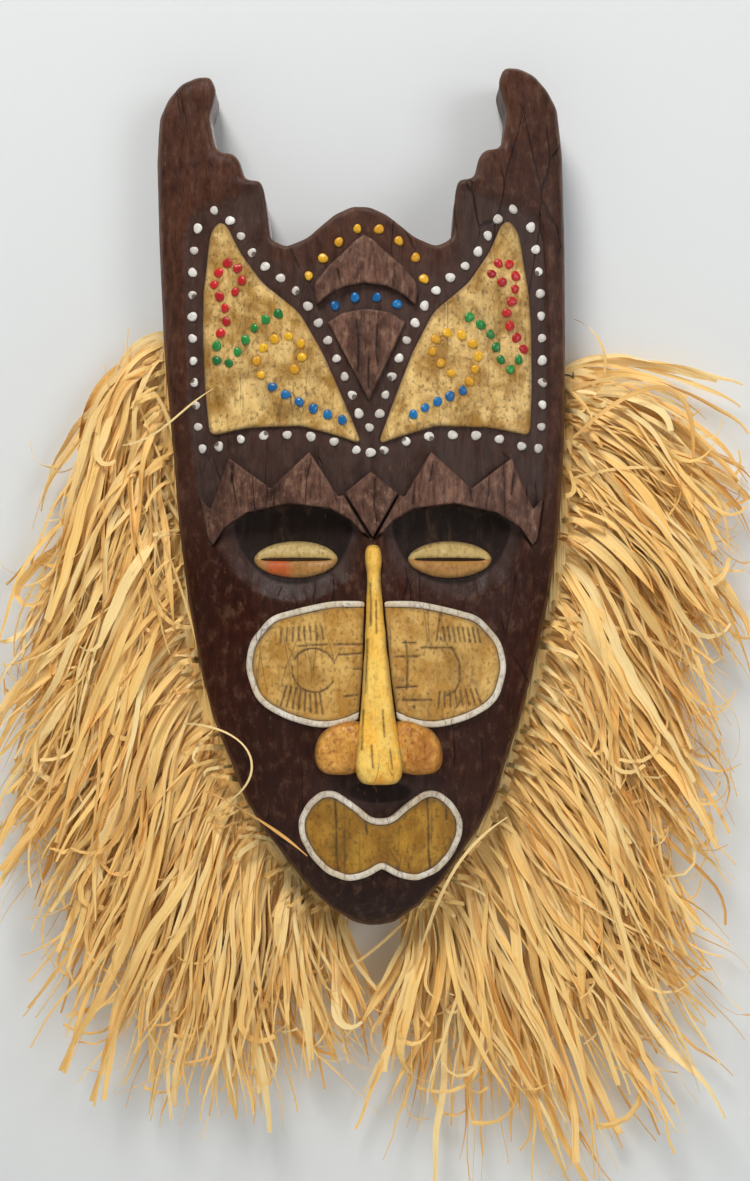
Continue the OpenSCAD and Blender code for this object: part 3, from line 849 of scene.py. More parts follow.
# %% Set the dots
DOT_ROWS = 5
DOT_SPOKES = 16
DOT_RADIUS = (2.5, 3.0)
DOT_TALL = (1.25, 1.75)
DOT_SINK = 0.8
CLEAR_OF_EDGE = 12.0
PAINTS = ["red", "green", "yellow", "blue"]


def dot_centres(node):
    """The middle of each separate dot in one CAD node: joined corners share the lowest group number."""
    corners, triangles = cad_triangles(node)
    group = np.arange(len(corners))
    for _ in range(40):
        low = group[triangles].min(1)
        for k in range(3):
            np.minimum.at(group, triangles[:, k], low)
        group = group[group]
    return [corners[group == g].mean(0)[[0, 2]] for g in np.unique(group[triangles])]


def dots(name, node, panel, slot, seed, chips=0.0):
    """A row of paint dots in one mesh, on the field or on a panel of the given thickness."""
    draw = np.random.default_rng(seed)
    points, faces, tint, chip = [], [], [], []
    for centre in dot_centres(node):
        radius = draw.uniform(*DOT_RADIUS)
        tall = draw.uniform(*DOT_TALL)
        peak = draw.uniform(-0.9, 0.9, 2)
        lost = draw.random() < chips
        shade = draw.random()
        turn = np.linspace(0, 2 * np.pi, DOT_SPOKES, endpoint=False)
        uneven = 1 + 0.07 * np.sin(2 * turn + draw.uniform(0, 6))
        uneven += 0.05 * np.sin(3 * turn + draw.uniform(0, 6))
        first = sum(len(p) for p in points)
        for row in range(DOT_ROWS + 1):
            share = row / DOT_ROWS
            r = radius * math.sin(share * math.pi / 2) * uneven if row else np.zeros(DOT_SPOKES)
            lift = tall * math.cos(share * math.pi / 2) ** 0.8
            slide = (1 - share) * peak
            spot = centre + slide + np.stack([r * np.cos(turn), r * np.sin(turn)], axis=1)
            spot = spot[:1] if row == 0 else spot
            masks = (np.ones(len(spot)), np.zeros(len(spot)), np.full(len(spot), CLEAR_OF_EDGE))
            y = front(spot, masks) - panel - lift + (DOT_SINK if row == DOT_ROWS else 0)
            if lost:
                bite = np.exp(-((spot - centre - 0.5 * radius * np.sign(peak)) ** 2).sum(1) / 2.4)
                y += 0.5 * tall * bite * (row < DOT_ROWS)
            points.append(np.stack([spot[:, 0], y, spot[:, 1]], axis=1))
            tint += [shade] * len(spot)
            chip += (bite if lost else np.zeros(len(spot))).tolist()
        ring = [first + 1 + k for k in range(DOT_SPOKES)]
        faces += [(first, ring[(k + 1) % DOT_SPOKES], ring[k]) for k in range(DOT_SPOKES)]
        for row in range(1, DOT_ROWS):
            low_ring = [i + DOT_SPOKES for i in ring]
            faces += [(ring[k], ring[(k + 1) % DOT_SPOKES], low_ring[(k + 1) % DOT_SPOKES], low_ring[k])
                      for k in range(DOT_SPOKES)]
            ring = low_ring
        faces.append(tuple(ring))
    return piece(name, np.vstack(points), faces, stands_for=[node], slot=slot, tint=tint, chip=chip)


dots("white_paint_dots", "white_dots", 0, "white_paint", 11, chips=0.2)
dots("crest_yellow_paint", "crest_yellow_dots", 0, "yellow_paint", 12)
dots("crest_blue_paint", "crest_blue_dots", 0, "blue_paint", 13)
for number, side in enumerate(SIDES):
    for k, paint in enumerate(PAINTS):
        dots(f"{side}_{paint}_paint_dots", f"{side}_{paint}_dots", PANEL_THICK, paint + "_paint",
             20 + 10 * number + k)

# %% [markdown]
# ## Finishes
# Stain, old paint, glossy dots, dry leaf and dull metal are each one group of shader nodes, so that a
# change to the ageing is made in one place. All patterns are computed from the place on the piece and
# from the marks kept while carving: how near an edge is, where a knife line runs, where black was
# rubbed in and where shade is painted.

# %% A short way to write shader nodes
class Graph:
    """Adds shader nodes to a tree. An input may be a socket or a plain value."""

    def __init__(self, tree):
        self.tree = tree

    def add(self, kind, inputs=(), **settings):
        made = self.tree.nodes.new(kind)
        for key, value in settings.items():
            setattr(made, key, value)
        for key, value in dict(inputs).items():
            if isinstance(value, bpy.types.NodeSocket):
                self.tree.links.new(value, made.inputs[key])
            else:
                made.inputs[key].default_value = value
        return made

    def math(self, operation, a, b=0.0):
        return self.add("ShaderNodeMath", {0: a, 1: b}, operation=operation, use_clamp=True).outputs[0]

    def mix(self, amount, a, b):
        return self.add("ShaderNodeMix", {0: amount, 6: a, 7: b}, data_type="RGBA").outputs[2]

    def ramp(self, value, low, high, start=0.0, end=1.0):
        limits = {"Value": value, "From Min": low, "From Max": high, "To Min": start, "To Max": end}
        node = self.add("ShaderNodeMapRange", limits, interpolation_type="SMOOTHSTEP")
        return node.outputs["Result"]

    def place(self, stretch=(1, 1, 1)):
        """Place on the piece in metres, stretched along each axis."""
        spot = self.add("ShaderNodeTexCoord").outputs["Object"]
        return self.add("ShaderNodeMapping", {"Vector": spot, "Scale": stretch}).outputs[0]

    def noise(self, vector, scale=1.0, detail=4.0, roughness=0.55, bend=0.0):
        node = self.add("ShaderNodeTexNoise", {"Vector": vector, "Scale": scale, "Detail": detail,
                                               "Roughness": roughness, "Distortion": bend})
        return node.outputs["Fac"]

    def crackle(self, vector, width):
        """1 along the seams between cells and 0 elsewhere; width is in cells."""
        cells = self.add("ShaderNodeTexVoronoi", {"Vector": vector, "Scale": 1.0},
                         feature="DISTANCE_TO_EDGE")
        return self.ramp(cells.outputs["Distance"], 0.0, width, 1, 0)

    def shifted(self, vector, by):
        """The place moved by the same amount along each axis."""
        return self.add("ShaderNodeVectorMath", {0: vector, 1: (by, by, by)}, operation="ADD").outputs[0]

    def mark(self, name):
        return self.add("ShaderNodeAttribute", attribute_name=name).outputs["Fac"]

    def height(self):
        """Height on the piece in metres."""
        return self.add("ShaderNodeSeparateXYZ", {0: self.place()}).outputs["Z"]


COLOUR, NUMBER = "NodeSocketColor", "NodeSocketFloat"


def effect(name, inputs):
    """A group of shader nodes with the given inputs; it answers with colour, roughness and height."""
    tree = bpy.data.node_groups.new(name, "ShaderNodeTree")
    for label, kind in inputs:
        tree.interface.new_socket(label, in_out="INPUT", socket_type=kind)
    for label, kind in (("Color", COLOUR), ("Roughness", NUMBER), ("Height", NUMBER)):
        tree.interface.new_socket(label, in_out="OUTPUT", socket_type=kind)
    graph = Graph(tree)
    return graph, graph.add("NodeGroupInput").outputs


def answer(graph, colour, roughness, height):
    """Wires the three outputs of an effect and gives back the finished group."""
    graph.add("NodeGroupOutput", {"Color": colour, "Roughness": roughness, "Height": height})
    print("effect:", graph.tree.name, "with", len(graph.tree.nodes), "nodes")
    return graph.tree


def finish(name, group, bump_mm, inputs=None, metallic=0.0, coat=0.0, shine=0.3):
    """A material with the colour, roughness and relief of one effect.

    inputs are the effect's own values, plain or as rules on the material's graph.
    """
    material = bpy.data.materials.new(name)
    material.use_nodes = True
    graph = Graph(material.node_tree)
    given = {key: value(graph) if callable(value) else value for key, value in (inputs or {}).items()}
    worn = graph.add("ShaderNodeGroup", node_tree=group)
    for key, value in given.items():
        if isinstance(value, bpy.types.NodeSocket):
            graph.tree.links.new(value, worn.inputs[key])
        else:
            worn.inputs[key].default_value = value
    bump = graph.add("ShaderNodeBump", {"Height": worn.outputs["Height"], "Distance": bump_mm * MM})
    shader = graph.tree.nodes["Principled BSDF"]
    graph.tree.links.new(worn.outputs["Color"], shader.inputs["Base Color"])
    graph.tree.links.new(worn.outputs["Roughness"], shader.inputs["Roughness"])
    graph.tree.links.new(bump.outputs[0], shader.inputs["Normal"])
    shader.inputs["Metallic"].default_value = metallic
    shader.inputs["Coat Weight"].default_value = coat
    shader.inputs["Specular IOR Level"].default_value = shine
    shader.inputs["Coat Roughness"].default_value = 0.3
    return material


def dress(names, material):
    """Gives the material to pieces made here and to CAD pieces that are shown as they are."""
    for name in names:
        made = bpy.data.objects[name] if name in bpy.data.objects else frame["nodes"][name]
        if made.data.materials:
            made.material_slots[0].material = material
        else:
            made.data.materials.append(material)


# %% [markdown]
# Stained wood: long fibres up and down the block, a broad change of tone, bare wood showing on worn
# edges, black rubbed into the sunken ground, painted shade in the sockets, under the nose and at the
# foot of the carved pieces, pale flecks, and fine cracks along the grain.

# %% Stained wood
g, given = effect("stained_wood", [("Dark", COLOUR), ("Light", COLOUR), ("Worn", COLOUR),
                                   ("Black", NUMBER), ("Edge", NUMBER), ("Marks", NUMBER)])
fibres = g.noise(g.place((330, 330, 60)), detail=6, roughness=0.65, bend=0.9)
pores = g.noise(g.place((1500, 1500, 90)), detail=2)
broad = g.noise(g.place((26, 26, 11)), detail=3, bend=0.6)
wood = g.mix(g.ramp(fibres, 0.3, 0.75, 0.1, 0.9), given["Dark"], given["Light"])
wood = g.mix(g.ramp(broad, 0.35, 0.65, 0, 0.8), wood, given["Dark"])
patch = g.noise(g.place((75, 75, 40)), detail=5)
mottle = g.noise(g.place((190, 190, 130)), detail=5, roughness=0.7)
wood = g.mix(g.ramp(mottle, 0.48, 0.72, 0, 0.45), wood, given["Worn"])
wood = g.mix(g.ramp(mottle, 0.3, 0.46, 0.6, 0), wood, srgb(24, 13, 9))
near_edge = g.math("ADD", given["Edge"], g.math("MULTIPLY", patch, 0.7))
rubbed = g.math("MULTIPLY", g.ramp(near_edge, 0.78, 1.15), 0.62)
wood = g.mix(rubbed, wood, given["Worn"])
stroke = g.noise(g.place((120, 120, 45)), detail=5, bend=1.2)
# Where the black mark is strong (the sockets, under the nose, the foot and sides of the carved pieces) this
# dark mix is painted shade; in the sunken field it is the black wash.
black_wash_and_shade = g.math("MULTIPLY", given["Black"], g.ramp(stroke, 0.18, 0.52, 0.55, 0.97))
deepest = g.ramp(given["Black"], 0.78, 0.95)
wash_and_shade_colour = g.mix(deepest, srgb(92, 72, 66), srgb(38, 24, 18))
wood = g.mix(black_wash_and_shade, wood, g.mix(stroke, srgb(16, 11, 10), wash_and_shade_colour))
somewhere = g.ramp(g.noise(g.place((14, 14, 8)), detail=3), 0.52, 0.6)
split = g.math("MULTIPLY", g.crackle(g.shifted(g.place((62, 62, 13)), 0.3), 0.022), somewhere)
fleck = g.ramp(g.noise(g.place((310, 310, 120)), detail=3), 0.68, 0.74, 0, 0.5)
wood = g.mix(fleck, wood, given["Worn"])
wood = g.mix(g.ramp(pores, 0.6, 0.72, 0, 0.5), wood, srgb(28, 17, 12))
wood = g.mix(g.math("MULTIPLY", split, 0.85), wood, srgb(14, 8, 6))
wood = g.mix(g.math("MULTIPLY", given["Marks"], 0.9), wood, srgb(16, 10, 7))
sheen = g.math("ADD", g.ramp(stroke, 0.3, 0.7, 0.3, 0.48), g.math("MULTIPLY", deepest, 0.2))
relief_height = g.math("ADD", g.math("MULTIPLY", fibres, 0.35), g.math("MULTIPLY", stroke, 0.4))
relief_height = g.math("SUBTRACT", g.math("ADD", relief_height, g.math("MULTIPLY", pores, 0.15)), split)
stained_wood = answer(g, wood, sheen, relief_height)

# %% [markdown]
# Old paint: a blotchy coat over the stained wood. Grime and painted shade darken the edges and sides,
# the coat has cracked along the grain of the wood, and small chips are missing.

# %% Old paint
g, given = effect("old_paint", [("Paint", COLOUR), ("Light", COLOUR), ("Stain", COLOUR),
                                ("Grime", NUMBER), ("Edge", NUMBER), ("Marks", NUMBER)])
blotch = g.noise(g.place((70, 70, 55)), detail=6, roughness=0.62, bend=0.3)
cloud = g.noise(g.place((33, 33, 26)), detail=4, bend=0.8)
streak = g.noise(g.place((420, 420, 38)), detail=4, bend=0.3)
coat = g.mix(g.ramp(blotch, 0.36, 0.66), given["Paint"], given["Light"])
coat = g.mix(g.math("MULTIPLY", g.ramp(cloud, 0.46, 0.76, 0, 0.5), given["Grime"]), coat, given["Stain"])
speckle = g.noise(g.place((480, 480, 380)), detail=4, roughness=0.65)
coat = g.mix(g.math("MULTIPLY", g.ramp(speckle, 0.5, 0.66, 0, 0.62), given["Grime"]), coat, given["Stain"])
scratch = g.noise(g.place((260, 260, 10)), detail=4)
coat = g.mix(g.math("MULTIPLY", g.ramp(scratch, 0.62, 0.7, 0, 0.5), given["Grime"]), coat, srgb(84, 58, 34))
coat = g.mix(g.ramp(streak, 0.52, 0.74, 0, 0.34), coat, given["Stain"])
# Darkening near the edges and down the sides is partly grime and partly painted shade, as on the rounded
# sides of the nose.
dirt_and_shade = g.math("MULTIPLY", given["Edge"], g.ramp(blotch, 0.3, 0.62, 0.15, 0.8))
coat = g.mix(g.math("MULTIPLY", dirt_and_shade, g.math("ADD", given["Grime"], 0.25)), coat, srgb(92, 70, 46))
somewhere = g.ramp(g.noise(g.place((20, 20, 14)), detail=3), 0.5, 0.62)
split = g.math("MULTIPLY", g.crackle(g.shifted(g.place((105, 105, 24)), 0.5), 0.035), somewhere)
chip = g.ramp(g.noise(g.place((230, 230, 160)), detail=4), 0.712, 0.735)
coat = g.mix(g.math("MULTIPLY", split, 0.6), coat, srgb(88, 62, 38))
coat = g.mix(g.math("MULTIPLY", chip, 0.75), coat, srgb(84, 58, 42))
coat = g.mix(g.math("MULTIPLY", given["Marks"], 0.88), coat, srgb(58, 38, 24))
sheen = g.ramp(cloud, 0.3, 0.7, 0.42, 0.62)
level = g.math("ADD", g.math("MULTIPLY", blotch, 0.35), 0.5)
level = g.math("SUBTRACT", level, g.math("MULTIPLY", split, 0.3))
level = g.math("ADD", level, g.math("MULTIPLY", streak, 0.2))
level = g.math("SUBTRACT", level, g.math("MULTIPLY", chip, 0.35))
level = g.math("SUBTRACT", level, g.math("MULTIPLY", speckle, 0.25))
old_paint = answer(g, coat, sheen, level)

# %% [markdown]
# Dots: thick glossy paint, each a slightly different shade, with specks of dirt, and bare where chipped.

# %% Thick paint
g, given = effect("thick_paint", [("Paint", COLOUR), ("Deep", COLOUR)])
smear = g.noise(g.place((260, 260, 260)), detail=4, bend=1.0)
blob = g.mix(g.ramp(g.mark("tint"), 0, 1, 0.05, 0.75), given["Paint"], given["Deep"])
blob = g.mix(g.ramp(smear, 0.42, 0.72, 0, 0.6), blob, given["Deep"])
speck = g.ramp(g.noise(g.place((900, 900, 900)), detail=2), 0.66, 0.74, 0, 0.55)
blob = g.mix(speck, blob, srgb(70, 52, 40))
blob = g.mix(g.ramp(g.mark("chip"), 0.25, 0.5, 0, 0.9), blob, srgb(92, 74, 60))
thick_paint = answer(g, blob, g.ramp(smear, 0.3, 0.7, 0.2, 0.42), g.math("MULTIPLY", smear, 0.8))

# %% [markdown]
# Raffia: strips split from a dry palm leaf. Each strip has its own shade, fine ribs and a few brown
# spots run along it, and its root is browner.

# %% Dry leaf
g, given = effect("dry_leaf", [("Warm", COLOUR)])
tint, along, across = g.mark("tint"), g.mark("along"), g.mark("across")
lane = g.add("ShaderNodeCombineXYZ", {0: tint, 1: across, 2: along}).outputs[0]
ribs = g.noise(g.add("ShaderNodeMapping", {"Vector": lane, "Scale": (90, 7, 2.2)}).outputs[0], detail=4)
spots = g.noise(g.add("ShaderNodeMapping", {"Vector": lane, "Scale": (60, 1.5, 9)}).outputs[0], detail=4)
leaf = g.mix(g.ramp(tint, 0.0, 0.4), srgb(224, 158, 74), srgb(254, 204, 116))
leaf = g.mix(g.ramp(tint, 0.4, 1.0), leaf, srgb(255, 224, 158))
leaf = g.mix(g.ramp(ribs, 0.4, 0.68, 0, 0.5), leaf, srgb(255, 232, 172))
leaf = g.mix(g.ramp(ribs, 0.28, 0.46, 0.4, 0), leaf, srgb(200, 136, 60))
leaf = g.mix(g.ramp(spots, 0.62, 0.78, 0, 0.5), leaf, srgb(170, 106, 46))
leaf = g.mix(g.ramp(along, 0.0, 0.14, 0.3, 0), leaf, given["Warm"])
dry_leaf = answer(g, leaf, g.ramp(ribs, 0.3, 0.7, 0.46, 0.66), ribs)

# %% [markdown]
# Metal: zinc gone dull, with darker blooms and a little rust.

# %% Dull metal
g, given = effect("dull_metal", [("Metal", COLOUR), ("Rust", NUMBER)])
bloom = g.noise(g.place((160, 160, 160)), detail=5, bend=0.6)
scratch = g.noise(g.place((2200, 300, 300)), detail=2)
skin = g.mix(g.ramp(bloom, 0.35, 0.65, 0, 0.45), given["Metal"], srgb(110, 108, 102))
spot = g.math("MULTIPLY", g.ramp(g.noise(g.place((310, 310, 310)), detail=5), 0.55, 0.68), given["Rust"])
skin = g.mix(spot, skin, srgb(108, 60, 34))
rough = g.math("ADD", g.ramp(bloom, 0.3, 0.7, 0.34, 0.5), g.math("MULTIPLY", spot, 0.3))
pitted = g.math("ADD", g.math("MULTIPLY", scratch, 0.4), g.math("MULTIPLY", spot, 0.4))
dull_metal = answer(g, skin, rough, pitted)

# %% [markdown]
# ## Which finish goes where
# The lower face is redder and darker than the horns, and the inside of the hollow is left as bare wood.
# These changes of tone follow height and depth on the block.

# %% Dress the wood
WOOD_SHINE = 0.16
CHIN_TONE = (-0.395, -0.31)
FACE_TONE = (-0.20, -0.14)


def board_dark(g):
    """The darker tone of the block's grain, from the chin up and into the hollow."""
    face = g.mix(g.ramp(g.height(), *CHIN_TONE), srgb(28, 9, 4), srgb(45, 17, 7))
    face = g.mix(g.ramp(g.height(), *FACE_TONE), face, srgb(58, 33, 24))
    return g.mix(g.math("MULTIPLY", g.ramp(g.mark("depth"), 0.4, 1.0), 0.85), face, srgb(84, 56, 36))


def board_light(g):
    """The lighter tone of the block's grain."""
    face = g.mix(g.ramp(g.height(), *CHIN_TONE), srgb(48, 19, 8), srgb(68, 27, 11))
    face = g.mix(g.ramp(g.height(), *FACE_TONE), face, srgb(98, 59, 42))
    return g.mix(g.math("MULTIPLY", g.ramp(g.mark("depth"), 0.4, 1.0), 0.9), face, srgb(150, 112, 76))


def kept(name):
    """A rule that reads a mark kept while carving."""
    return lambda g: g.mark(name)


board_wood = finish("board_wood", stained_wood, 1.1, {
    "Dark": board_dark, "Light": board_light, "Worn": srgb(112, 80, 60), "Black": kept("black"),
    "Edge": kept("edge")}, shine=WOOD_SHINE)
relief_wood = finish("relief_wood", stained_wood, 0.9, {
    "Dark": srgb(66, 42, 34), "Light": srgb(150, 109, 91), "Worn": srgb(172, 134, 108),
    "Black": kept("black"), "Marks": kept("marks")}, shine=WOOD_SHINE)
dress(["carved_board"], board_wood)
dress(["left_flame_brow", "right_flame_brow", "brow_lozenge", "crown_crescent_moon", "crown_wedge_plate"],
      relief_wood)
print("wood finishes:", board_wood.name, relief_wood.name)

# %% [markdown]
# ## Paint on the panels
# The same old paint covers every painted piece, each time in its own colours. The nose is warmest at
# its foot, and each eyelid is darker below the slit, with an orange stain on the left one.

# %% Mix the paints
SLIT_Z = float(np.mean([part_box(side + "_eye")[k][2] for side in SIDES for k in (0, 1)]))
EYE_X = float(np.mean([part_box("left_eye")[k][0] for k in (0, 1)]))


def paint(name, base, light, stain, grime, coat=0.08, bump=0.3, dirt_and_shade=1.0):
    """Old paint in two tones with its stain; the last value sets how far grime and painted shade darken the
    edges.
    """
    return finish(name, old_paint, bump, {
        "Paint": base, "Light": light, "Stain": stain, "Grime": grime, "Marks": kept("marks"),
        "Edge": lambda g: g.math("MULTIPLY", g.mark("edge"), dirt_and_shade)}, coat=coat)


def nose_colour(g):
    low = g.mix(g.ramp(g.height(), -0.300, -0.265), srgb(255, 184, 48), srgb(255, 198, 80))
    return g.mix(g.ramp(g.height(), -0.315, -0.300), srgb(222, 136, 38), low)


def lid_colour(g):
    spot = g.add("ShaderNodeSeparateXYZ", {0: g.place()}).outputs["X"]
    orange = g.math("MULTIPLY", g.ramp(spot, EYE_X - 0.02, EYE_X - 0.014),
                    g.ramp(spot, EYE_X - 0.008, EYE_X + 0.001, 1, 0))
    low = g.mix(orange, srgb(172, 124, 62), srgb(196, 84, 24))
    return g.mix(g.ramp(g.height(), SLIT_Z - 0.0004, SLIT_Z + 0.0008), low, srgb(198, 170, 106))


wing_paint = paint("wing_paint", srgb(166, 120, 48), srgb(240, 201, 128), srgb(92, 66, 28), 1.0)
cheek_paint = paint("cheek_paint", srgb(187, 136, 58), srgb(226, 182, 104), srgb(116, 82, 34), 0.95)
rim_paint = paint("rim_paint", srgb(222, 206, 178), srgb(252, 244, 228), srgb(118, 88, 58), 0.7, dirt_and_shade=0.4)
mouth_paint = paint("mouth_paint", srgb(148, 100, 22), srgb(186, 138, 46), srgb(84, 62, 18), 1.0)
nose_paint = paint("nose_paint", nose_colour, srgb(255, 214, 108), srgb(176, 108, 40), 0.6, coat=0.2)
nostril_paint = paint("nostril_paint", srgb(186, 120, 34), srgb(232, 172, 80), srgb(140, 66, 20), 1.0,
                      coat=0.2)
lid_paint = paint("lid_paint", lid_colour, lid_colour, srgb(120, 78, 36), 0.8)

# %% Dress the painted pieces
dress([side + "_painted_wing" for side in SIDES], wing_paint)
dress([side + "_painted_cheek" for side in SIDES], cheek_paint)
dress([side + "_cheek_border" for side in SIDES] + ["mouth_border"], rim_paint)
dress(["mouth_plate"], mouth_paint)
dress(["nose_wedge"], nose_paint)
dress([side + "_nostril" for side in SIDES], nostril_paint)
dress([side + "_eyelids" for side in SIDES], lid_paint)
print("materials so far:", len(bpy.data.materials))

# %% Dress the dots and the hardware
DOT_PAINTS = {
    "white": (srgb(236, 232, 224), srgb(188, 178, 166)), "red": (srgb(208, 32, 32), srgb(140, 14, 20)),
    "green": (srgb(42, 146, 62), srgb(18, 88, 40)), "yellow": (srgb(244, 190, 34), srgb(206, 142, 20)),
    "blue": (srgb(18, 124, 186), srgb(10, 80, 136)),
}
for name, (bright, deep) in DOT_PAINTS.items():
    glossy = finish(name + "_dot_paint", thick_paint, 0.25, {"Paint": bright, "Deep": deep}, coat=0.4)
    dress([made.name for made in bpy.data.objects if f"{name}_paint" in made.name], glossy)
zinc = finish("dull_zinc", dull_metal, 0.05, {"Metal": srgb(178, 176, 168), "Rust": 0.4}, metallic=1.0)
iron = finish("old_iron", dull_metal, 0.05, {"Metal": srgb(120, 116, 112), "Rust": 0.8}, metallic=1.0)
dress(["hanger_strap", "hanger_ring", "hanger_screw"], zinc)
dress(["cord_tacks"], iron)
print("materials so far:", len(bpy.data.materials))

# %% [markdown]
# ## The mane
# Along each side raffia is held at the board: strips of palm leaf 1 to 6 mm wide and up to 250 mm long,
# tied close together and left to fall. A strip leaves the board outwards, and its own weight soon turns
# it down. Hair curves or a cloth simulation could do this, but thousands of loose strips would take
# them far too long. So each strip here is walked forward in small steps while its heading swings from
# the way it starts to the way it hangs. The strips wander, twist, and some curl up at the end. What
# changes from the top of the mane to its foot is a short table given for each side. A row gives
# the height above the chin, the way a strip starts and hangs in degrees, and its length.

# %% Habits of the mane
CORD_OUT = 7.4
CORD_Y = -14.0
HABITS = {
    "left": np.array([(345, 0, -86, 120), (325, -14, -83, 165), (285, -22, -76, 185), (235, -24, -68, 195),
                      (190, -24, -65, 195), (145, -30, -66, 200), (100, -42, -74, 215), (60, -50, -84, 190),
                      (30, -66, -98, 130), (6, -80, -112, 90)], float),
    "right": np.array([(325, 8, -46, 125), (305, 6, -52, 145), (265, 2, -62, 165), (215, -10, -68, 175),
                       (165, -25, -68, 180), (120, -36, -63, 190), (85, -42, -58, 205), (60, -50, -62, 235),
                       (34, -62, -74, 205), (6, -76, -104, 95)], float),
}
MANE_TOP = {"left": 343, "right": 324}
SIDE_LEVELS = np.arange(2, 470, 4)
TUFT_ROOTS = {"left": [340, 302, 264, 226, 188, 152, 118, 86, 58, 5],
              "right": [332, 298, 264, 228, 192, 156, 122, 90, 60, 5]}
TUFTS = 9


def board_side(side):
    """The board's side as distances from the middle line at even heights above the chin."""
    across, height = on_board(board_edge)
    mine = across * SIDES[side] > 0
    return np.array([(across[mine & (np.abs(height - h) < 4)] * SIDES[side]).max() for h in SIDE_LEVELS])


SIDE_LINES = {side: board_side(side) for side in SIDES}


def beside_board(side, height, out):
    """A point out from the board's side at a height above the chin, as (x, z) in the part's frame."""
    near = np.interp([height - 5, height, height + 5], SIDE_LEVELS, SIDE_LINES[side])
    slope = (near[2] - near[0]) / 10
    size = math.sqrt(1 + slope ** 2)
    z = height - out * slope / size
    return np.array([SIDES[side] * (near[1] + out / size) + LEAN * (LEAN_HEIGHT - z), z + CHIN_Z])


print("half width of the board at its widest:", {side: round(SIDE_LINES[side].max(), 1) for side in SIDES})

# %% One strip
RINGS = 24


def smooth_line(corners, number):
    """A curve drawn towards each of a few corners in turn, as points at even steps of its parameter."""
    t = np.linspace(0, 1, number)[:, None]
    corners = [np.asarray(c, float) for c in corners]
    while len(corners) > 1:
        corners = [a * (1 - t) + b * t for a, b in zip(corners, corners[1:])]
    return corners[0]


class Bunch:
    """Collects strips into one mesh. Each strip has its own band in the mesh's map of flat places."""

    def __init__(self):
        self.points, self.faces, self.tint, self.along, self.across, self.places = [], [], [], [], [], []
        self.count = 0
        self.strips = 0

    def strip(self, line, wide, thick, tint, facing, taper=0.35):
        """A flat closed strip along a line of points; facing is the way its broad side looks."""
        n = len(line)
        ahead = np.gradient(line, axis=0)
        ahead /= np.linalg.norm(ahead, axis=1)[:, None] + 1e-9
        side_way = np.cross(ahead, facing)
        side_way /= np.linalg.norm(side_way, axis=1)[:, None] + 1e-9
        up = np.cross(side_way, ahead)
        t = np.linspace(0, 1, n)
        half = 0.5 * wide * (1 - (1 - taper) * step_up(0.72, 1, t)) * (0.7 + 0.3 * step_up(0, 0.12, t))
        across = half[:, None] * side_way
        lift = 0.5 * thick * up
        curl = 0.12 * half[:, None] * up
        rows = np.stack([line - across + curl, line + lift, line + across + curl, line - lift], axis=1)
        self.points.append(rows.reshape(-1, 3))
        a = self.count
        for i in range(n - 1):
            for k in range(4):
                b, c = a + 4 * i + k, a + 4 * i + (k + 1) % 4
                self.faces.append((b, c, c + 4, b + 4))
                low, high = self.strips + 0.08 + 0.21 * k, self.strips + 0.08 + 0.21 * (k + 1)
                start, end = t[i], t[i + 1]
                self.places += [(start, low), (start, high), (end, high), (end, low)]
        self.faces.append((a + 3, a + 2, a + 1, a))
        last = a + 4 * (n - 1)
        self.faces.append((last, last + 1, last + 2, last + 3))
        self.places += [(0, self.strips + s) for s in (0.3, 0.4, 0.4, 0.3)]
        self.places += [(1, self.strips + s) for s in (0.3, 0.4, 0.4, 0.3)]
        self.count += 4 * n
        self.strips += 1
        self.tint += [tint] * (4 * n)
        self.along += np.repeat(t, 4).tolist()
        self.across += np.tile([0.0, 0.5, 1.0, 0.5], n).tolist()

    def mesh(self, name, stands_for):
        """The whole bunch as one dressed piece."""
        made = piece(name, np.vstack(self.points), self.faces, stands_for=stands_for, slot="raffia",
                     smooth=False, tint=self.tint, along=self.along, across=self.across)
        flat_map = made.data.uv_layers.new(name="OFBake")
        places = np.array(self.places) * (0.98, 1 / self.strips) + (0.01, 0)
        flat_map.data.foreach_set("uv", places.ravel())
        dress([name], raffia_finish)
        return made


raffia_finish = finish("dry_raffia", dry_leaf, 0.3, {"Warm": srgb(150, 96, 42)})
print("corners in a strip:", 4 * RINGS)


# %% How a strip falls
WIDE = 200
LOOSE = 34
CLEAR_OF_WALL = -2.5


def facing_of(n, draw, twist):
    """Ways that a strip's broad side looks as it turns along its length; the mane faces -Y."""
    turn = draw.normal(0, 0.5) + twist * np.linspace(0, 1, n) ** 1.4
    turn += 0.35 * np.sin(np.linspace(0, draw.uniform(3, 9), n) + draw.uniform(0, 6))
    return np.stack([np.sin(turn), -np.cos(turn), 0.3 * np.sin(turn * 1.7)], axis=1)


def lock_habit(draw):
    """The bends that neighbouring strips share, so that they lie together in a lock."""
    return {"turning": draw.uniform(16, 44), "lean": draw.normal(0, 9), "start": draw.normal(0, 14),
            "slow": (draw.uniform(3, 14), draw.uniform(15, 36), draw.uniform(0, 6.3)),
            "layer": draw.uniform(-30, -8), "shade": draw.normal(0, 0.12)}


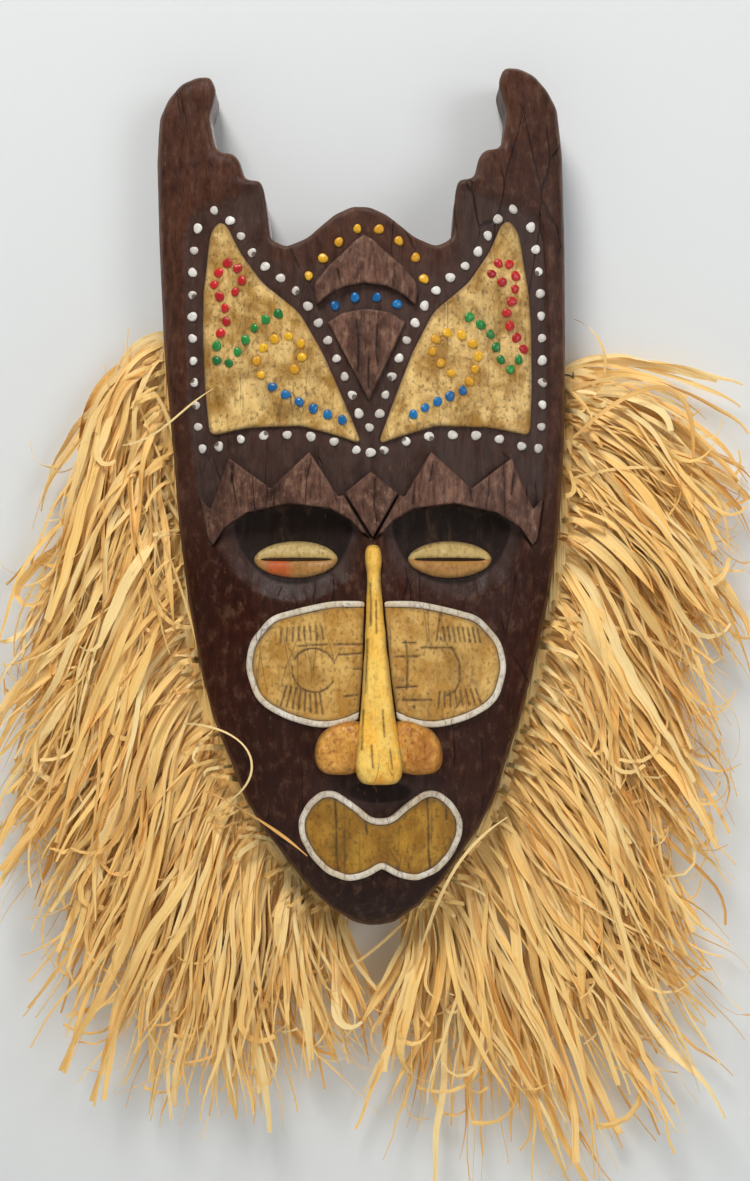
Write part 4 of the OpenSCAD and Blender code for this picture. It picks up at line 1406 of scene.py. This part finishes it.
def wandering(side, height, draw, lock, start, hang, long, out=-1.5, swing=1.0, rings=RINGS):
    """The middle line of a strip that starts beside the board and falls.

    Its heading turns from start to hang, waves with its lock and on its own, and may end in a curl.
    Past WIDE from the middle line it is drawn in, so that it never gets further out than LOOSE more.
    """
    s = np.linspace(0, 1, rings)
    size, wave, phase = lock["slow"]
    start = start + lock["start"] + draw.normal(0, 7)
    hang = hang + lock["lean"] + draw.normal(0, 4.5)
    angle = hang + (start - hang) * np.exp(-s * long / (lock["turning"] * draw.uniform(0.85, 1.15)))
    angle += swing * size * np.sin(s * long / wave + phase + draw.normal(0, 0.35))
    angle += swing * draw.uniform(0, 7) * np.sin(s * long / draw.uniform(4, 9) + draw.uniform(0, 6.3))
    if draw.random() < 0.25:
        angle += draw.choice([-1, 1]) * draw.uniform(30, 170) * step_up(draw.uniform(0.66, 0.86), 1.05, s)
    angle = np.radians(angle)
    step = long / (rings - 1)
    x = np.concatenate([[0], np.cumsum(step * np.cos(angle[1:]))]) * SIDES[side]
    z = np.concatenate([[0], np.cumsum(step * np.sin(angle[1:]))])
    root = beside_board(side, height, out)
    x = root[0] + x
    past = np.maximum(np.abs(x) - WIDE, 0)
    x = np.sign(x) * (np.minimum(np.abs(x), WIDE) + LOOSE * np.tanh(past / LOOSE))
    y = CORD_Y + (lock["layer"] + draw.normal(0, 1.6) - CORD_Y) * step_up(0, 0.45, s)
    y += 3.0 * np.sin(s * draw.uniform(2, 7) + draw.uniform(0, 6.3)) * s
    return np.stack([x, np.minimum(y, CLEAR_OF_WALL), root[1] + z], axis=1)


# %% Grow the tufts
STRIPS = 132
CHIN_STRIPS = 210
LOCK = 6
STRIP_THICK = 0.32
WIDTHS = [1.2, 2.0, 3.0, 4.4, 6.4]
WIDTH_SHARES = [0.24, 0.28, 0.24, 0.16, 0.08]
drawn = np.random.default_rng(5)


def habit(side, height):
    """The start, the hang and the length of strips rooted at a height above the chin."""
    table = HABITS[side][::-1]
    return [np.interp(height, table[:, 0], table[:, k]) for k in (1, 2, 3)]


for side in SIDES:
    roots = TUFT_ROOTS[side]
    for tuft in range(TUFTS):
        bunch = Bunch()
        for number in range(CHIN_STRIPS if tuft == TUFTS - 1 else STRIPS):
            if number % LOCK == 0:
                lock = lock_habit(drawn)
                top = MANE_TOP[side] if tuft == 0 else roots[tuft]
                lock_height = top + (roots[tuft + 1] - top) * drawn.random()
            height = lock_height + drawn.normal(0, 3)
            start, hang, long = habit(side, height)
            line = wandering(side, height, drawn, lock, start, hang, long * drawn.uniform(0.5, 1.06))
            wide = drawn.choice(WIDTHS, p=WIDTH_SHARES)
            shade = float(np.clip(drawn.normal(0.56, 0.2) + lock["shade"], 0, 1))
            bunch.strip(line, wide, STRIP_THICK, shade, facing_of(RINGS, drawn, drawn.normal(0, 1.5)),
                        taper=drawn.uniform(0.15, 0.7))
        bunch.mesh(f"{side}_raffia_{tuft + 1}", [f"{side}_raffia_tuft_{tuft + 1}"])
print("strips on each side:", (TUFTS - 1) * STRIPS + CHIN_STRIPS)

# %% [markdown]
# ## The heading of the mane
# The raffia is held at the board by a heading: strips laid lengthwise and bound, with the roots of the
# mane looped over them like the teeth of a comb.

# %% Lay the heading
HEADING_LOW = 8
HEADING_STRANDS = 9
HEADING_RINGS = 60
LOOPS = 120
LOOP_RINGS = 10
for side in SIDES:
    bunch = Bunch()
    heading_top = MANE_TOP[side] - 4
    heights = np.linspace(heading_top, HEADING_LOW, HEADING_RINGS)
    for strand in range(HEADING_STRANDS):
        swing = strand / HEADING_STRANDS * 2 * math.pi + np.linspace(0, 14, HEADING_RINGS)
        out = CORD_OUT - 3.6 + 2.3 * np.cos(swing)
        flat_line = np.stack([beside_board(side, h, o) for h, o in zip(heights, out)])
        line = np.stack([flat_line[:, 0], CORD_Y + 2.6 * np.sin(swing), flat_line[:, 1]], axis=1)
        facing = np.stack([0.4 * np.cos(swing), np.sin(swing) - 1.5, 0 * swing], axis=1)
        bunch.strip(line, 3.4, 0.6, float(drawn.uniform(0.3, 0.9)), facing, taper=0.7)
    for number in range(LOOPS):
        height = heading_top - (heading_top - HEADING_LOW) * (number + drawn.random()) / LOOPS
        line = wandering(side, height, drawn, lock_habit(drawn), drawn.uniform(-25, 15),
                         drawn.uniform(-95, -60), drawn.uniform(14, 30), out=-0.5, swing=0.6,
                         rings=LOOP_RINGS)
        bunch.strip(line, drawn.uniform(1.5, 3.6), 0.5, float(np.clip(drawn.normal(0.5, 0.25), 0, 1)),
                    facing_of(LOOP_RINGS, drawn, 0.4), taper=0.8)
    bunch.mesh(side + "_mane_heading", [side + "_raffia_cord"])
    print(side, "heading:", bunch.strips, "strips")

# %% [markdown]
# ## Strays
# A few strips have worked loose: some stand up at the top, some swing far out to the sides, and a few
# lie over the board. They are laid one by one. Each has a few points (distance from the middle line,
# height above the chin, distance in front of the wall), a width and a shade.

# %% Lay the strays
STRAYS = {
    "left_strays": [
        ([(-112, 232, 20), (-128, 262, 22), (-152, 282, 24), (-160, 330, 20)], 2.2, 0.8),
        ([(-114, 240, 20), (-134, 300, 24), (-150, 318, 22), (-146, 352, 18)], 1.6, 0.6),
        ([(-112, 250, 22), (-120, 320, 26), (-138, 330, 24), (-150, 300, 22)], 2.6, 0.7),
        ([(-140, 200, 26), (-190, 190, 24), (-215, 160, 20), (-212, 138, 18)], 1.4, 0.7),
        ([(-120, 130, 26), (-190, 120, 28), (-216, 92, 24), (-206, 70, 18)], 1.6, 0.5),
        ([(-100, 70, 26), (-180, 20, 26), (-214, 10, 20), (-190, -30, 16)], 1.5, 0.6),
        ([(-120, 20, 20), (-190, -10, 22), (-205, -28, 20), (-170, -40, 14)], 1.8, 0.4),
        ([(-60, 20, 20), (-70, -60, 22), (-40, -70, 20), (4, -118, 14)], 1.6, 0.6),
        ([(-145, 280, 50), (-122, 282, 58), (-112, 300, 60), (-92, 312, 57)], 1.2, 0.9),
        ([(-112, 118, 34), (-62, 118, 60), (-58, 84, 60), (-92, 70, 50)], 1.3, 0.9),
        ([(-98, 78, 34), (-78, 72, 54), (-54, 58, 57), (-38, 43, 55)], 2.4, 0.1),
    ],
    "right_strays": [
        ([(116, 300, 22), (150, 318, 26), (138, 352, 20), (120, 358, 16)], 2.4, 0.5),
        ([(118, 286, 30), (170, 336, 34), (196, 320, 30), (188, 260, 24)], 2.8, 0.15),
        ([(116, 262, 24), (190, 284, 28), (218, 250, 22), (210, 210, 18)], 1.8, 0.6),
        ([(110, 180, 24), (200, 170, 28), (214, 130, 22), (196, 92, 18)], 2.0, 0.6),
        ([(104, 140, 24), (196, 90, 26), (216, 40, 20), (186, 22, 16)], 1.6, 0.7),
        ([(60, 30, 24), (96, -60, 26), (116, -128, 20), (134, -146, 16)], 2.2, 0.7),
        ([(40, 20, 22), (14, -60, 24), (40, -100, 20), (26, -128, 14)], 1.6, 0.5),
        ([(28, -16, 30), (40, 30, 56), (52, 50, 58), (78, 64, 44)], 1.8, 0.8),
        ([(20, 0, 18), (-10, -30, 22), (-34, -40, 20), (-60, -52, 14)], 1.8, 0.6),
        ([(70, 20, 24), (120, -40, 26), (150, -90, 20), (182, -92, 16)], 1.8, 0.6),
    ],
}
for name, strays in STRAYS.items():
    bunch = Bunch()
    for corners, wide, shade in strays:
        line = smooth_line([(x, -y, z + CHIN_Z) for x, z, y in corners], RINGS)
        bunch.strip(line, wide, 0.3, shade, facing_of(RINGS, drawn, 0.6), taper=0.4)
    bunch.mesh(name, [])
    print(name, bunch.strips)
